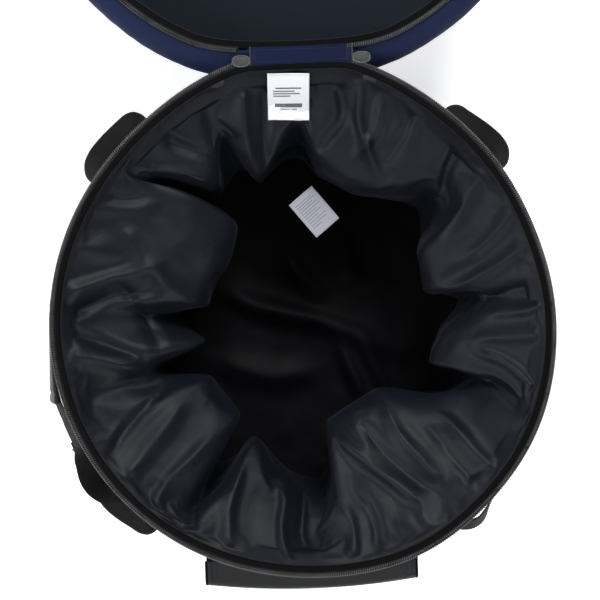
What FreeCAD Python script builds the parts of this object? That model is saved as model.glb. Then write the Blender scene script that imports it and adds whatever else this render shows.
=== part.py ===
"""Round soft carrying bag for a steel pan, unzipped, with its lid laid right back.

Millimetres. The origin is the centre of the base's underside, +Z is up and +Y points
to the hinge. The front pocket is on the -Y side. Every node stands where it is when
the lid is fully open.
"""
import FreeCAD, Part
import math
import os
from FreeCAD import Vector

os.makedirs("parts", exist_ok=True)

# The mouth and its zip
RIM_R = 300.0            # outside of the zip round the mouth
RIM_Z = 300.0            # height of the mouth's plane
SEAM_GAP = 0.2           # from the mouth's plane to each half of the zip
COIL_WIDTH = 5.0
COIL_DEPTH = 2.6
TAPE_WIDTH = 3.5
TAPE_DEPTH = 1.0
BINDING_R = 287.5        # centre of the rolled binding
BINDING_RADIUS = 4.4
BINDING_DROP = 4.8       # centre of the binding below the mouth's plane
ZIP_END_ANGLE = 15.5     # each side of the hinge, where the zip ends

# The wall and the base
FABRIC = 1.2
WALL_R = 284.0
WALL_FOAM = 8.8
BOARD = 3.0
BASE_FOAM = 8.0
WALL_TOP = RIM_Z - BINDING_DROP - BINDING_RADIUS - 0.2
PIPING_RADIUS = 2.3

# The lid, hinged at the back of the rim
LID_Y = 608.5            # centre of the open lid
HINGE_Y = LID_Y / 2
LID_DEPTH = 60.0
LID_TOP_R = 299.0
LID_FOAM = 8.0
BAND_FOAM = 6.0
LINING = 0.8
LINING_GAP = 0.6
# The side band's outside, down from the mouth's plane: radius and depth
BAND_PROFILE = [(296.5, 3.4), (306.0, 8.5), (316.5, 16.0), (322.0, 27.0), (319.0, 40.0), (308.0, 52.0), (299.2, 57.0)]
FOAM_SPLIT = 28.0        # depth at which the band's two strips of foam meet
STRIP_FROM_X = -50.0     # the hinge strip sits a little to one side
STRIP_TO_X = 69.4
COVER_LENGTH = 22.0
COVER_WIDTH = 14.0

# The loose lining, sagged into the bag: radius and height down its profile
LINER_PROFILE = [
    (282.0, 293.0), (275.0, 291.8), (267.0, 283.0), (255.0, 264.0), (232.0, 238.0), (200.0, 205.0),
    (176.0, 172.0), (166.0, 140.0), (172.0, 105.0), (200.0, 70.0), (240.0, 40.0), (264.0, 20.0), (270.0, 14.8),
]
LINER = 1.0
LINER_FLOOR_R = 268.0

# The two cloth labels: width, height, turn about +Z, tilt and middle
LABEL_THICK = 0.6
MAKER_LABEL = (50.0, 52.0, 0.0, 50.0, (-7.0, 246.0, 268.0))
CARE_LABEL = (36.0, 52.0, 38.0, 52.0, (21.0, 172.0, 184.0))

# The four grab handles
HANDLE_ANGLES = {"back_right": 45.0, "back_left": 135.0, "front_left": 225.5, "front_right": 313.0}
HANDLE_Z = 199.0
HANDLE_WIDTH = 36.0      # of the webbing
HANDLE_NECK = 12.0       # where the webbing gathers at its sewn ends
HANDLE_HALF = 42.0       # half the distance between the sewn ends
HANDLE_REACH = 338.0     # radius of the grip
HANDLE_ROOT_R = 286.8
HANDLE_FLAT = 30.0       # half the grip's straight stretch
HANDLE_BEND = 22.0       # how far out from its root each leg runs before it turns to the grip
NECK_REACH = 13.0        # how far out the gathered stretch goes
WEBBING = 2.4
PATCH = 2.2
HANDLE_PATCH_HEIGHT = 48.0
HANDLE_PATCH_TURN = 6.0  # degrees round the wall

# The carrying strap on the left
STRAP_Z = 242.0
STRAP_WIDTH = 30.0
STRAP_NECK = 12.0        # where the webbing gathers at its sewn ends
STRAP_NECK_R = 293.5
STRAP_ROOT_R = 289.7
STRAP_REAR_ANGLE = 158.0
STRAP_FRONT_ANGLE = 221.0
STRAP_REAR = [(-291.0, 72.0), (-303.0, 40.0)]
STRAP_PAD = [(-303.4, 38.6), (-310.0, 4.0), (-311.0, -44.0), (-307.5, -88.0)]
STRAP_FRONT = [(-307.3, -89.4), (-297.0, -130.0), (-292.0, -170.0), (-274.0, -206.0), (-241.0, -220.0)]
STRAP_PATCH_TURN = 7.0   # degrees round the wall
STRAP_PATCH_RISE = 20.0  # above the strap's middle, and 5 mm less below it
PAD_WIDTH = 44.0
PAD_THICK = 9.0
ADJUSTER = (7.0, 26.0, 38.0)          # thickness, length, height
ADJUSTER_SLOT = (3.4, 28.0, 30.8)
ADJUSTER_AT = (-294.5, -150.0)
ADJUSTER_TURN = 7.1

# The front pocket
POCKET_HALF = 131.0
POCKET_TOP = 216.0
POCKET_BOTTOM = 62.0
POCKET_REACH = 332.0
POCKET_CURVE = 930.0     # radius of its gently bowed front
FLAP_HINGE_Y = -296.0
FLAP_DROP = 68.0
FLAP_GAP = 2.5           # room between flap and pocket for the hook and loop tapes
FLAP_THICK = 1.5
TAPE_HEIGHT = 25.0       # of the hook and loop tapes
TAPE_FROM_EDGE = 6.0
TAPE_INSET = 25.0        # from the pocket's ends

# Zip sliders
SLIDER_ANGLE = 17.5      # each side of the hinge, where a slider parks
SLIDER_LENGTH = 18.0
SLIDER_HEIGHT = 11.0
SLIDER_THICK = 2.4
PULL_LENGTH = 27.0
PULL_WIDTH = 8.0
PULL_THICK = 1.6
PULL_SLOT = 4.6          # between the fork's prongs
PIN_RADIUS = 0.8
BRIDGE_RADIUS = 1.7
BRIDGE_WIDTH = 4.0
PULL_OFFSET = 2.4        # of its pivot from the slider's plate
PULL_DROP = 5.0          # of its pivot below the slider's top
CLEAR = 0.3

Z_AXIS = Vector(0, 0, 1)


def export(node, *solids):
    """Write one node's solids to its STEP file."""
    shape = solids[0] if len(solids) == 1 else Part.makeCompound(list(solids))
    shape.exportStep("parts/" + node + ".step")


def disc(radius, z_low, z_high, y=0.0):
    return Part.makeCylinder(radius, z_high - z_low, Vector(0, y, z_low))


def ring(r_in, r_out, z_low, z_high, y=0.0):
    return disc(r_out, z_low, z_high, y).cut(disc(r_in, z_low - 1, z_high + 1, y))


def wedge(angle_from, angle_to, reach, z_low, z_high, y=0.0):
    """A prism that covers a sector of less than 180 degrees about the axis at y."""
    middle = (angle_from + angle_to) / 2
    half = math.radians(angle_to - angle_from) / 2
    far = reach / math.cos(half)
    corners = [Vector(0, y, z_low)]
    for turn in (-half, half):
        a = math.radians(middle) + turn
        corners.append(Vector(far * math.cos(a), y + far * math.sin(a), z_low))
    face = Part.Face(Part.makePolygon(corners + corners[:1]))
    return face.extrude(Vector(0, 0, z_high - z_low))


def sector(r_in, r_out, angle_from, angle_to, z_low, z_high):
    cutter = wedge(angle_from, angle_to, 2 * r_out, z_low, z_high)
    return ring(r_in, r_out, z_low, z_high).common(cutter)


def torus(radius, section, z, y=0.0):
    return Part.makeTorus(radius, section, Vector(0, y, z), Z_AXIS)


def box(x0, x1, y0, y1, z0, z1):
    return Part.makeBox(x1 - x0, y1 - y0, z1 - z0, Vector(x0, y0, z0))


def curve_through(points):
    spline = Part.BSplineCurve()
    spline.interpolate(points)
    return spline.toShape()


def shifted(points, distance):
    """Points of a profile, each moved along the profile's normal."""
    moved = []
    for i, (r, z) in enumerate(points):
        r0, z0 = points[max(i - 1, 0)]
        r1, z1 = points[min(i + 1, len(points) - 1)]
        length = math.hypot(r1 - r0, z1 - z0)
        moved.append((r + distance * (z1 - z0) / length, z - distance * (r1 - r0) / length))
    return moved


def revolved_shell(points, near, far, y=0.0, skip=0):
    """A turned shell between two offsets of a profile of (radius, height), without its first points."""
    inner = [Vector(r, 0, z) for r, z in shifted(points, near)[skip:]]
    outer = [Vector(r, 0, z) for r, z in shifted(points, far)[skip:]]
    edges = [
        curve_through(inner),
        Part.makeLine(inner[-1], outer[-1]),
        curve_through(outer),
        Part.makeLine(outer[0], inner[0]),
    ]
    face = Part.Face(Part.Wire(Part.__sortEdges__(edges)))
    solid = face.revolve(Vector(0, 0, 0), Z_AXIS, 360)
    solid.translate(Vector(0, y, 0))
    return solid


def rounded_path(points, rounding=0.4):
    """Straight runs joined by tangent arcs, through the given plan points."""
    edges = []
    start = points[0]
    for before, corner, after in zip(points, points[1:], points[2:]):
        back = before - corner
        ahead = after - corner
        room = rounding * min(back.Length, ahead.Length)
        back.normalize()
        ahead.normalize()
        half_turn = (math.pi - back.getAngle(ahead)) / 2
        radius = room / math.tan(half_turn)
        inward = (back + ahead).normalize()
        middle = corner + inward * (radius / math.cos(half_turn) - radius)
        arc_from = corner + back * room
        arc_to = corner + ahead * room
        edges.append(Part.makeLine(start, arc_from))
        edges.append(Part.Arc(arc_from, middle, arc_to).toShape())
        start = arc_to
    edges.append(Part.makeLine(start, points[-1]))
    return Part.Wire(edges)


def ribbon(points, thick, z_low, z_high, rounding=0.4):
    """A strap that stands on edge along a plan path."""
    path = rounded_path([Vector(x, y, z_low) for x, y in points], rounding)
    side_a = path.makeOffset2D(thick / 2, openResult=True)
    side_b = path.makeOffset2D(-thick / 2, openResult=True)
    ends_a = [side_a.OrderedVertexes[0].Point, side_a.OrderedVertexes[-1].Point]
    ends_b = [side_b.OrderedVertexes[0].Point, side_b.OrderedVertexes[-1].Point]
    if (ends_a[0] - ends_b[0]).Length > (ends_a[0] - ends_b[1]).Length:
        ends_b.reverse()
    caps = [Part.makeLine(ends_a[0], ends_b[0]), Part.makeLine(ends_a[1], ends_b[1])]
    edges = Part.__sortEdges__(side_a.Edges + side_b.Edges + caps)
    return Part.Face(Part.Wire(edges)).extrude(Vector(0, 0, z_high - z_low))


def polar(radius, angle):
    a = math.radians(angle)
    return radius * math.cos(a), radius * math.sin(a)


def turned(shape, angle):
    """The shape turned about the bag's axis."""
    copy = shape.copy()
    copy.rotate(Vector(0, 0, 0), Z_AXIS, angle)
    return copy


def make_base():
    export("base_fabric", disc(WALL_R, 0, FABRIC))
    board_top = FABRIC + BOARD
    export("base_board", disc(WALL_R - FABRIC, FABRIC, board_top))
    export("base_foam", disc(WALL_R - FABRIC, board_top, board_top + BASE_FOAM))
    export("base_piping", torus(WALL_R + PIPING_RADIUS + 0.1, PIPING_RADIUS, PIPING_RADIUS + 0.6))


def make_wall():
    foam_foot = FABRIC + BOARD + BASE_FOAM
    export("wall_fabric", ring(WALL_R - FABRIC, WALL_R, FABRIC, WALL_TOP))
    export("wall_foam", ring(WALL_R - FABRIC - WALL_FOAM, WALL_R - FABRIC, foam_foot, WALL_TOP))


def zip_half(y, towards):
    """Tape and coil round one rim, stopping short of the hinge, which lies at the towards angle."""
    gap = wedge(towards - ZIP_END_ANGLE, towards + ZIP_END_ANGLE, 2 * RIM_R, RIM_Z - 9, RIM_Z + 9, y)
    coil_top = RIM_Z - SEAM_GAP
    coil_in = RIM_R - COIL_WIDTH
    coil = ring(coil_in, RIM_R, coil_top - COIL_DEPTH, coil_top, y).cut(gap)
    tape_mid = coil_top - COIL_DEPTH / 2
    low, high = tape_mid - TAPE_DEPTH / 2, tape_mid + TAPE_DEPTH / 2
    tape = ring(coil_in - TAPE_WIDTH, coil_in, low, high, y).cut(gap)
    return tape, coil


def make_rim():
    export("rim_binding", torus(BINDING_R, BINDING_RADIUS, RIM_Z - BINDING_DROP))
    tape, coil = zip_half(0.0, 90.0)
    export("bag_zip_tape", tape)
    export("bag_zip_coil", coil)


def make_liner():
    export("liner", revolved_shell(LINER_PROFILE, 0.0, LINER))
    floor_z = FABRIC + BOARD + BASE_FOAM
    export("liner_floor", disc(LINER_FLOOR_R, floor_z + 0.2, floor_z + 0.2 + LINER))


def make_labels():
    """Two plain cloth labels that lie just above the lining."""
    labels = {"maker_label": MAKER_LABEL, "care_label": CARE_LABEL}
    for node, (width, height, turn, tilt, middle) in labels.items():
        label = box(-width / 2, width / 2, -height / 2, height / 2, -LABEL_THICK / 2, LABEL_THICK / 2)
        label.rotate(Vector(0, 0, 0), Z_AXIS, turn)
        label.rotate(Vector(0, 0, 0), Vector(1, 0, 0), tilt)
        label.translate(Vector(*middle))
        export(node, label)


def make_lid():
    profile = [(r, RIM_Z - depth) for r, depth in BAND_PROFILE]
    foam_in = FABRIC + BAND_FOAM
    export("lid_side_band", revolved_shell(profile, 0.0, FABRIC, LID_Y))
    foam = revolved_shell(profile, FABRIC, foam_in, LID_Y)
    split = RIM_Z - FOAM_SPLIT
    export("lid_band_foam_upper", foam.common(disc(2 * RIM_R, split, RIM_Z, LID_Y)))
    export("lid_band_foam_lower", foam.common(disc(2 * RIM_R, RIM_Z - LID_DEPTH, split, LID_Y)))
    lining_out = foam_in + LINING_GAP
    export("lid_band_lining", revolved_shell(profile, lining_out, lining_out + LINING, LID_Y, 1))
    top = RIM_Z - LID_DEPTH
    export("lid_top_fabric", disc(LID_TOP_R, top, top + FABRIC, LID_Y))
    foam_top = top + FABRIC + LID_FOAM
    export("lid_top_foam", disc(290.0, top + FABRIC, foam_top, LID_Y))
    export("lid_lining_panel", disc(289.0, foam_top, foam_top + LINING, LID_Y))
    export("lid_piping", torus(LID_TOP_R + PIPING_RADIUS + 0.3, PIPING_RADIUS, top + 1.1, LID_Y))
    export("lid_binding", torus(BINDING_R, BINDING_RADIUS, RIM_Z - BINDING_DROP, LID_Y))
    tape, coil = zip_half(LID_Y, -90.0)
    export("lid_zip_tape", tape)
    export("lid_zip_coil", coil)


def make_hinge():
    """The fabric strip that joins lid and bag, and the patches that close the zip's ends."""
    binding_out = BINDING_R + BINDING_RADIUS
    near_y = binding_out + 0.5
    strip = box(STRIP_FROM_X, STRIP_TO_X, near_y, LID_Y - near_y, RIM_Z - 2.6, RIM_Z - 1.2)
    export("hinge_strip", strip)
    covers = []
    for x in (STRIP_FROM_X - COVER_LENGTH / 2 - 0.5, STRIP_TO_X + COVER_LENGTH / 2 + 0.5):
        straight = COVER_LENGTH - COVER_WIDTH
        low, high = RIM_Z - 1.8, RIM_Z - 0.4
        cover = box(x - straight / 2, x + straight / 2, HINGE_Y, HINGE_Y + COVER_WIDTH, low, high)
        for side in (-1, 1):
            centre = Vector(x + side * straight / 2, HINGE_Y + COVER_WIDTH / 2, low)
            cover = cover.fuse(Part.makeCylinder(COVER_WIDTH / 2, high - low, centre))
        covers.append(cover.removeSplitter())
    export("zip_end_covers", *covers)


def make_sliders():
    """Each slider rides outside the coil, with its pull hanging from a bridge."""
    half_turn = math.degrees(SLIDER_LENGTH / 2 / RIM_R)
    r_in = RIM_R + CLEAR
    r_out = r_in + SLIDER_THICK
    z_high = RIM_Z - SEAM_GAP - CLEAR
    z_low = z_high - SLIDER_HEIGHT
    pivot_r = r_out + PULL_OFFSET
    pivot_z = z_high - PULL_DROP
    for side, angle in (("left", 90 + SLIDER_ANGLE), ("right", 90 - SLIDER_ANGLE)):
        plate = sector(r_in, r_out, -half_turn, half_turn, z_low, z_high)
        tongue = sector(RIM_R - COIL_WIDTH, r_out, -half_turn / 2, half_turn / 2, z_low, z_low + 2.0)
        bridge = pivot_bar(BRIDGE_RADIUS, BRIDGE_WIDTH, pivot_r, pivot_z)
        arm = BRIDGE_WIDTH / 2
        bridge = bridge.fuse(box(r_out - 0.2, pivot_r, -arm, arm, pivot_z - 0.9, pivot_z + 0.9))
        bridge = bridge.cut(pivot_bar(PIN_RADIUS + 0.1, PULL_WIDTH, pivot_r, pivot_z))
        export("zip_slider_" + side, turned(plate.fuse([tongue, bridge]).removeSplitter(), angle))
        export("zip_pull_" + side, turned(zip_pull(pivot_r, pivot_z), angle))


def pivot_bar(radius, length, r, z):
    """A round bar along the pull's pivot, centred on +X at radius r."""
    return Part.makeCylinder(radius, length, Vector(r, -length / 2, z), Vector(0, 1, 0))


def zip_pull(r, z):
    """A forked pull that hangs from a pin at radius r and height z, on the +X side."""
    half_thick = PULL_THICK / 2
    half_width = PULL_WIDTH / 2
    half_slot = PULL_SLOT / 2
    pull = box(r - half_thick, r + half_thick, -half_width, half_width, z - PULL_LENGTH, z + 1.2)
    pull = pull.cut(box(r - PULL_WIDTH, r + PULL_WIDTH, -half_slot, half_slot, z - 6, z + 3))
    return pull.fuse(pivot_bar(PIN_RADIUS, PULL_SLOT + 0.2, r, z)).removeSplitter()


def gathered(strap, middle, width, neck, reach_shape):
    """The strap with its height cut down to the neck inside the given shape."""
    edge = width / 2 + 1.0
    for z_low, z_high in ((middle - edge, middle - neck / 2), (middle + neck / 2, middle + edge)):
        slab = box(-2 * RIM_R, 2 * RIM_R, -2 * RIM_R, 2 * RIM_R, z_low, z_high)
        strap = strap.cut(slab.common(reach_shape))
    return strap


def handle_shape():
    """One webbing loop, standing on edge and pointing along +X, gathered at both sewn ends."""
    bend_r = HANDLE_ROOT_R + HANDLE_BEND
    plan = [
        (HANDLE_ROOT_R, -HANDLE_HALF), (bend_r, -HANDLE_HALF - 2), (HANDLE_REACH, -HANDLE_FLAT),
        (HANDLE_REACH, HANDLE_FLAT), (bend_r, HANDLE_HALF + 2), (HANDLE_ROOT_R, HANDLE_HALF),
    ]
    loop = ribbon(plan, WEBBING, HANDLE_Z - HANDLE_WIDTH / 2, HANDLE_Z + HANDLE_WIDTH / 2)
    near_wall = box(0, HANDLE_ROOT_R + NECK_REACH, -RIM_R, RIM_R, 0, RIM_Z)
    return gathered(loop, HANDLE_Z, HANDLE_WIDTH, HANDLE_NECK, near_wall)


def make_handles():
    loop = handle_shape()
    patches = []
    half_turn = math.degrees(HANDLE_HALF / WALL_R)
    for name, angle in HANDLE_ANGLES.items():
        export("handle_" + name, turned(loop, angle))
        for side in (-1, 1):
            middle = angle + side * half_turn
            patches.append(wall_patch(middle, HANDLE_PATCH_TURN, HANDLE_Z, HANDLE_PATCH_HEIGHT / 2))
    export("handle_patches", *patches)


def wall_patch(angle, turn, z, rise, drop=None):
    """A square of webbing sewn flat on the wall."""
    low = z - (rise if drop is None else drop)
    return sector(WALL_R, WALL_R + PATCH, angle - turn / 2, angle + turn / 2, low, z + rise)


def make_strap():
    """The long strap on the left: webbing, pad, webbing with a slack bow, and its adjuster."""
    rear = [polar(STRAP_ROOT_R, STRAP_REAR_ANGLE)] + STRAP_REAR
    front = STRAP_FRONT + [polar(STRAP_ROOT_R, STRAP_FRONT_ANGLE)]
    low, high = STRAP_Z - STRAP_WIDTH / 2, STRAP_Z + STRAP_WIDTH / 2
    near_wall = disc(STRAP_NECK_R, 0, RIM_Z)
    for node, plan in (("strap_webbing_rear", rear), ("strap_webbing_front", front)):
        webbing = ribbon(plan, WEBBING, low, high)
        export(node, gathered(webbing, STRAP_Z, STRAP_WIDTH, STRAP_NECK, near_wall))
    export("strap_pad", ribbon(STRAP_PAD, PAD_THICK, STRAP_Z - PAD_WIDTH / 2, STRAP_Z + PAD_WIDTH / 2))
    outer, slot = (
        box(-thick / 2, thick / 2, -length / 2, length / 2, -height / 2, height / 2)
        for thick, length, height in (ADJUSTER, ADJUSTER_SLOT)
    )
    adjuster = outer.cut(slot)
    adjuster.rotate(Vector(0, 0, 0), Z_AXIS, ADJUSTER_TURN)
    adjuster.translate(Vector(*ADJUSTER_AT, STRAP_Z))
    export("strap_adjuster", adjuster)
    drop = STRAP_PATCH_RISE - 5.0
    patches = [
        wall_patch(angle, STRAP_PATCH_TURN, STRAP_Z, STRAP_PATCH_RISE, drop)
        for angle in (STRAP_REAR_ANGLE, STRAP_FRONT_ANGLE)
    ]
    export("strap_patches", *patches)


def pocket_plan(radius, y_back, z):
    """The face between a straight back edge and the bowed front."""
    centre_y = POCKET_CURVE - POCKET_REACH
    side_y = centre_y - math.sqrt(radius ** 2 - POCKET_HALF ** 2)
    right_back = Vector(POCKET_HALF, y_back, z)
    right_front = Vector(POCKET_HALF, side_y, z)
    left_front = Vector(-POCKET_HALF, side_y, z)
    left_back = Vector(-POCKET_HALF, y_back, z)
    middle = Vector(0, centre_y - radius, z)
    edges = [
        Part.makeLine(right_back, right_front),
        Part.Arc(right_front, middle, left_front).toShape(),
        Part.makeLine(left_front, left_back),
        Part.makeLine(left_back, right_back),
    ]
    return Part.Face(Part.Wire(edges))


def bowed_plate(radius, thick, half_width, z_low, z_high):
    """A curved plate across the pocket's front, its outer face at the given radius."""
    centre = Vector(0, POCKET_CURVE - POCKET_REACH, z_low)
    height = z_high - z_low
    tube = Part.makeCylinder(radius, height, centre).cut(Part.makeCylinder(radius - thick, height, centre))
    return tube.common(box(-half_width, half_width, -400, -300, z_low, z_high))


def make_pocket():
    drum = disc(WALL_R + 0.1, POCKET_BOTTOM - 20, POCKET_TOP + 20)
    inner = POCKET_CURVE - FABRIC
    top_plate = box(-POCKET_HALF, POCKET_HALF, FLAP_HINGE_Y, -200, POCKET_TOP - FABRIC, POCKET_TOP).cut(drum)
    export("pocket_top", top_plate)
    floor = pocket_plan(inner, -200, POCKET_BOTTOM).extrude(Vector(0, 0, FABRIC)).cut(drum)
    export("pocket_bottom", floor)
    front_top = POCKET_TOP - 5
    export("pocket_front", bowed_plate(POCKET_CURVE, FABRIC, POCKET_HALF, POCKET_BOTTOM, front_top))
    sides = []
    full = pocket_plan(inner, -200, POCKET_BOTTOM + FABRIC)
    full = full.extrude(Vector(0, 0, POCKET_TOP - POCKET_BOTTOM - 2 * FABRIC)).cut(drum)
    for x in (-POCKET_HALF, POCKET_HALF - FABRIC):
        sides.append(full.common(box(x, x + FABRIC, -400, -200, 0, RIM_Z)))
    export("pocket_sides", *sides)
    make_flap()


def make_flap():
    inner = POCKET_CURVE + FLAP_GAP
    outer = inner + FLAP_THICK
    top_z = POCKET_TOP + 1.0
    lid_plate = pocket_plan(outer, FLAP_HINGE_Y, top_z).extrude(Vector(0, 0, FLAP_THICK))
    drop = bowed_plate(outer, FLAP_THICK, POCKET_HALF, top_z - FLAP_DROP, top_z)
    export("pocket_flap", lid_plate.fuse(drop).removeSplitter())
    low = top_z - FLAP_DROP + TAPE_FROM_EDGE
    half = POCKET_HALF - TAPE_INSET
    export("flap_hook_tape", bowed_plate(inner, 1.0, half, low, low + TAPE_HEIGHT))
    export("pocket_loop_tape", bowed_plate(POCKET_CURVE + 1.0, 1.0, half, low, low + TAPE_HEIGHT))


make_base()
make_wall()
make_rim()
make_liner()
make_labels()
make_lid()
make_hinge()
make_sliders()
make_handles()
make_strap()
make_pocket()
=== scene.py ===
import math
import random

import bpy
import numpy as np
from mathutils import Matrix, Vector, noise
from mathutils.bvhtree import BVHTree


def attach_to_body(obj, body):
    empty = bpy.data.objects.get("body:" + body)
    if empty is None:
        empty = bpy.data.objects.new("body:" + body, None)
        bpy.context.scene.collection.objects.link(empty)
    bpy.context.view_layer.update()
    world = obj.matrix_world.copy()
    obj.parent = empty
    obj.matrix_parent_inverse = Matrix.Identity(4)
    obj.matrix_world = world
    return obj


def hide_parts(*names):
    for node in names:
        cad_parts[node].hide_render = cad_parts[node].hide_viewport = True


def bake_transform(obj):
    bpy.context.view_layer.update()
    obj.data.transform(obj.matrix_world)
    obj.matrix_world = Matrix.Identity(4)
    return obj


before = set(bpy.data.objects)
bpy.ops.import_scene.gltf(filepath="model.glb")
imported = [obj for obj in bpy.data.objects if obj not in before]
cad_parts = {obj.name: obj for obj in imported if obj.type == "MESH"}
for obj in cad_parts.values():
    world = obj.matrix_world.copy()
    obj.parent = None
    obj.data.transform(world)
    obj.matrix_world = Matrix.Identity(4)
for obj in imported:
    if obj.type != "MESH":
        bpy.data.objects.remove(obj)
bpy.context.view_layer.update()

# Metres, in the CAD frame: +Z up, +Y to the hinge, the pocket at -Y.
RIM_R = 0.300            # outside of the zip round the mouth
RIM_Z = 0.300
BINDING_R = 0.2902
BINDING_Z = 0.2952
BINDING_SECTION = 0.0043
WALL_R = 0.284
LID_Y = 0.6085
ZIP_END = math.radians(12.8)

# Towards the hinge the soft mouth is pulled out into a blunt nose
NOSE_FLAT = 0.3036       # y of the binding's middle where it runs straight
NOSE_SPREAD = math.radians(28.5)
NOSE_REACH = 0.022
# The soft mouth isn't quite round: degrees round the rim, how far out, and how wide
SLUMPS = [(296, 0.0080, 22), (332, 0.0056, 20), (20, -0.0028, 15)]
LID_FLAT = 0.2784         # the lid's binding, from the lid's middle
NOSE_ROUND = 0.004


# ---------------------------------------------------------------- mesh helpers

def mesh_object(name, verts, faces, material, slot=None, uvs=None):
    """A mesh object; uvs holds one (u, v) in metres for each corner of each face."""
    mesh = bpy.data.meshes.new(name)
    mesh.from_pydata([tuple(v) for v in verts], [], faces)
    if uvs is not None:
        layer = mesh.uv_layers.new(name="UVMap")
        layer.data.foreach_set("uv", np.asarray(uvs, np.float32).ravel())
    mesh.polygons.foreach_set("use_smooth", [True] * len(mesh.polygons))
    mesh.update()
    obj = bpy.data.objects.new(name, mesh)
    bpy.context.scene.collection.objects.link(obj)
    mesh.materials.append(material)
    return obj


def grid(rows, wrap_rows=False, wrap_cols=False):
    """Vertices, faces and UVs of a grid given as an array of rows x columns x 3. UVs are lengths."""
    rows = np.asarray(rows, float)
    n, m = rows.shape[:2]
    along = np.linalg.norm(np.diff(rows, axis=1, append=rows[:, :1]), axis=2).mean(0)
    across = np.linalg.norm(np.diff(rows, axis=0, append=rows[:1]), axis=2).mean(1)
    us = np.concatenate([[0], np.cumsum(along)])
    vs = np.concatenate([[0], np.cumsum(across)])
    faces, uvs = [], []
    for i in range(n if wrap_rows else n - 1):
        for j in range(m if wrap_cols else m - 1):
            i1, j1 = (i + 1) % n, (j + 1) % m
            faces.append((i * m + j, i * m + j1, i1 * m + j1, i1 * m + j))
            uvs += [(us[j], vs[i]), (us[j + 1], vs[i]), (us[j + 1], vs[i + 1]), (us[j], vs[i + 1])]
    return rows.reshape(-1, 3), faces, uvs


class Build:
    """Gathers several grids and solids into one mesh."""

    def __init__(self):
        self.verts, self.faces, self.uvs = [], [], []

    def add(self, verts, faces, uvs=None):
        base = len(self.verts)
        self.verts += [tuple(v) for v in verts]
        self.faces += [tuple(base + k for k in f) for f in faces]
        if uvs is None:
            uvs = [(verts[k][0] + verts[k][1], verts[k][2]) for f in faces for k in f]
        self.uvs += [tuple(uv) for uv in uvs]
        return self

    def grid(self, rows, **wrap):
        return self.add(*grid(rows, **wrap))

    def done(self, name, material, slot=None):
        return mesh_object(name, self.verts, self.faces, material, slot, self.uvs)


def circle(count):
    """Even angles round a full turn."""
    return np.arange(count) * 2 * math.pi / count


def share_of(value, start, end):
    """0 up to start, 1 from end, and even in between."""
    return min(max((value - start) / (end - start), 0), 1)


def eased(t):
    return t * t * (3 - 2 * t)


def attach(obj, body, *cad_nodes):
    """Rides a piece on a body, in place of the CAD's nodes."""
    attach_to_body(obj, body)
    if cad_nodes:
        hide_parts(*cad_nodes)


def capped_tube(rows):
    """A tube of lengthwise lines, closed at both ends."""
    verts, faces, uvs = grid(np.array(rows), wrap_rows=True)
    n, m = len(rows), len(rows[0])
    for j, order in ((0, 1), (m - 1, -1)):
        faces.append(tuple([i * m + j for i in range(n)][::order]))
        uvs += [(0, 0)] * n
    return verts, faces, uvs


def capped_stack(rows):
    """Closed rings one above another, the first and last filled."""
    verts, faces, uvs = grid(np.array(rows), wrap_cols=True)
    count = len(rows[0])
    faces += [tuple(range(count))[::-1], tuple(range((len(rows) - 1) * count, len(rows) * count))]
    return verts, faces, uvs + [(0, 0)] * (2 * count)


def sweep(path, outs, ups, section, closed=False):
    """A grid: a closed section of (out, up) pairs carried along a path."""
    path, outs, ups = (np.asarray(a, float) for a in (path, outs, ups))
    rows = [path + outs * o + ups * u for o, u in section]
    verts, faces, uvs = grid(rows, wrap_rows=True, wrap_cols=closed)
    if not closed:
        n, m = len(section), len(path)
        for j, order in ((0, 1), (m - 1, -1)):
            ends = [i * m + j for i in range(n)][::order]
            faces.append(tuple(ends))
            uvs += [tuple(section[(k - j) // m]) for k in ends]
    return verts, faces, uvs


def frames_along(path, up=(0, 0, 1), closed=False):
    """Tangents, sideways and upward directions along a path."""
    path = np.asarray(path, float)
    if closed:
        tangent = np.roll(path, -1, 0) - np.roll(path, 1, 0)
    else:
        tangent = np.gradient(path, axis=0)
    tangent /= np.linalg.norm(tangent, axis=1)[:, None]
    up = np.broadcast_to(np.asarray(up, float), path.shape)
    side = np.cross(tangent, up)
    side /= np.linalg.norm(side, axis=1)[:, None]
    return tangent, side, np.cross(side, tangent)


def add_tube(build, line, section, up=(0, 0, 1), closed=False):
    """Carries a section along a line, into a build."""
    _, side, above = frames_along(line, up, closed)
    build.add(*sweep(line, side, above, section, closed))


def smooth_path(points, step):
    """A Catmull-Rom curve through the points, resampled to about the given step."""
    p = np.asarray(points, float)
    n = len(p)
    fine = []
    for i in range(n - 1):
        a, b, c, d = p[max(i - 1, 0)], p[i], p[i + 1], p[min(i + 2, n - 1)]
        for t in np.linspace(0, 1, 24, endpoint=False):
            fine.append(0.5 * (2 * b + (c - a) * t + (2 * a - 5 * b + 4 * c - d) * t * t
                               + (3 * b - a - 3 * c + d) * t ** 3))
    fine.append(p[-1])
    run = run_along(fine)
    wanted = np.linspace(0, run[-1], max(int(round(run[-1] / step)), 2) + 1)
    return at_run(fine, run, wanted)


def run_along(points):
    """How far along a line each of its points is."""
    return np.concatenate([[0], np.cumsum(np.linalg.norm(np.diff(points, axis=0), axis=1))])


def at_run(points, run, wanted):
    """Points of a line at the wanted distances along it."""
    points = np.asarray(points, float)
    return np.stack([np.interp(wanted, run, points[:, k]) for k in range(3)], -1)


def rounded_box(width, height, corner, per_corner=3):
    """A closed section of (out, up) pairs with rounded corners, centred on the path."""
    section = []
    w, h = width / 2 - corner, height / 2 - corner
    for cx, cy, start in ((w, h, 0), (-w, h, 90), (-w, -h, 180), (w, -h, 270)):
        for k in range(per_corner + 1):
            a = math.radians(start + 90 * k / per_corner)
            section.append((cx + corner * math.cos(a), cy + corner * math.sin(a)))
    return section


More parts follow.
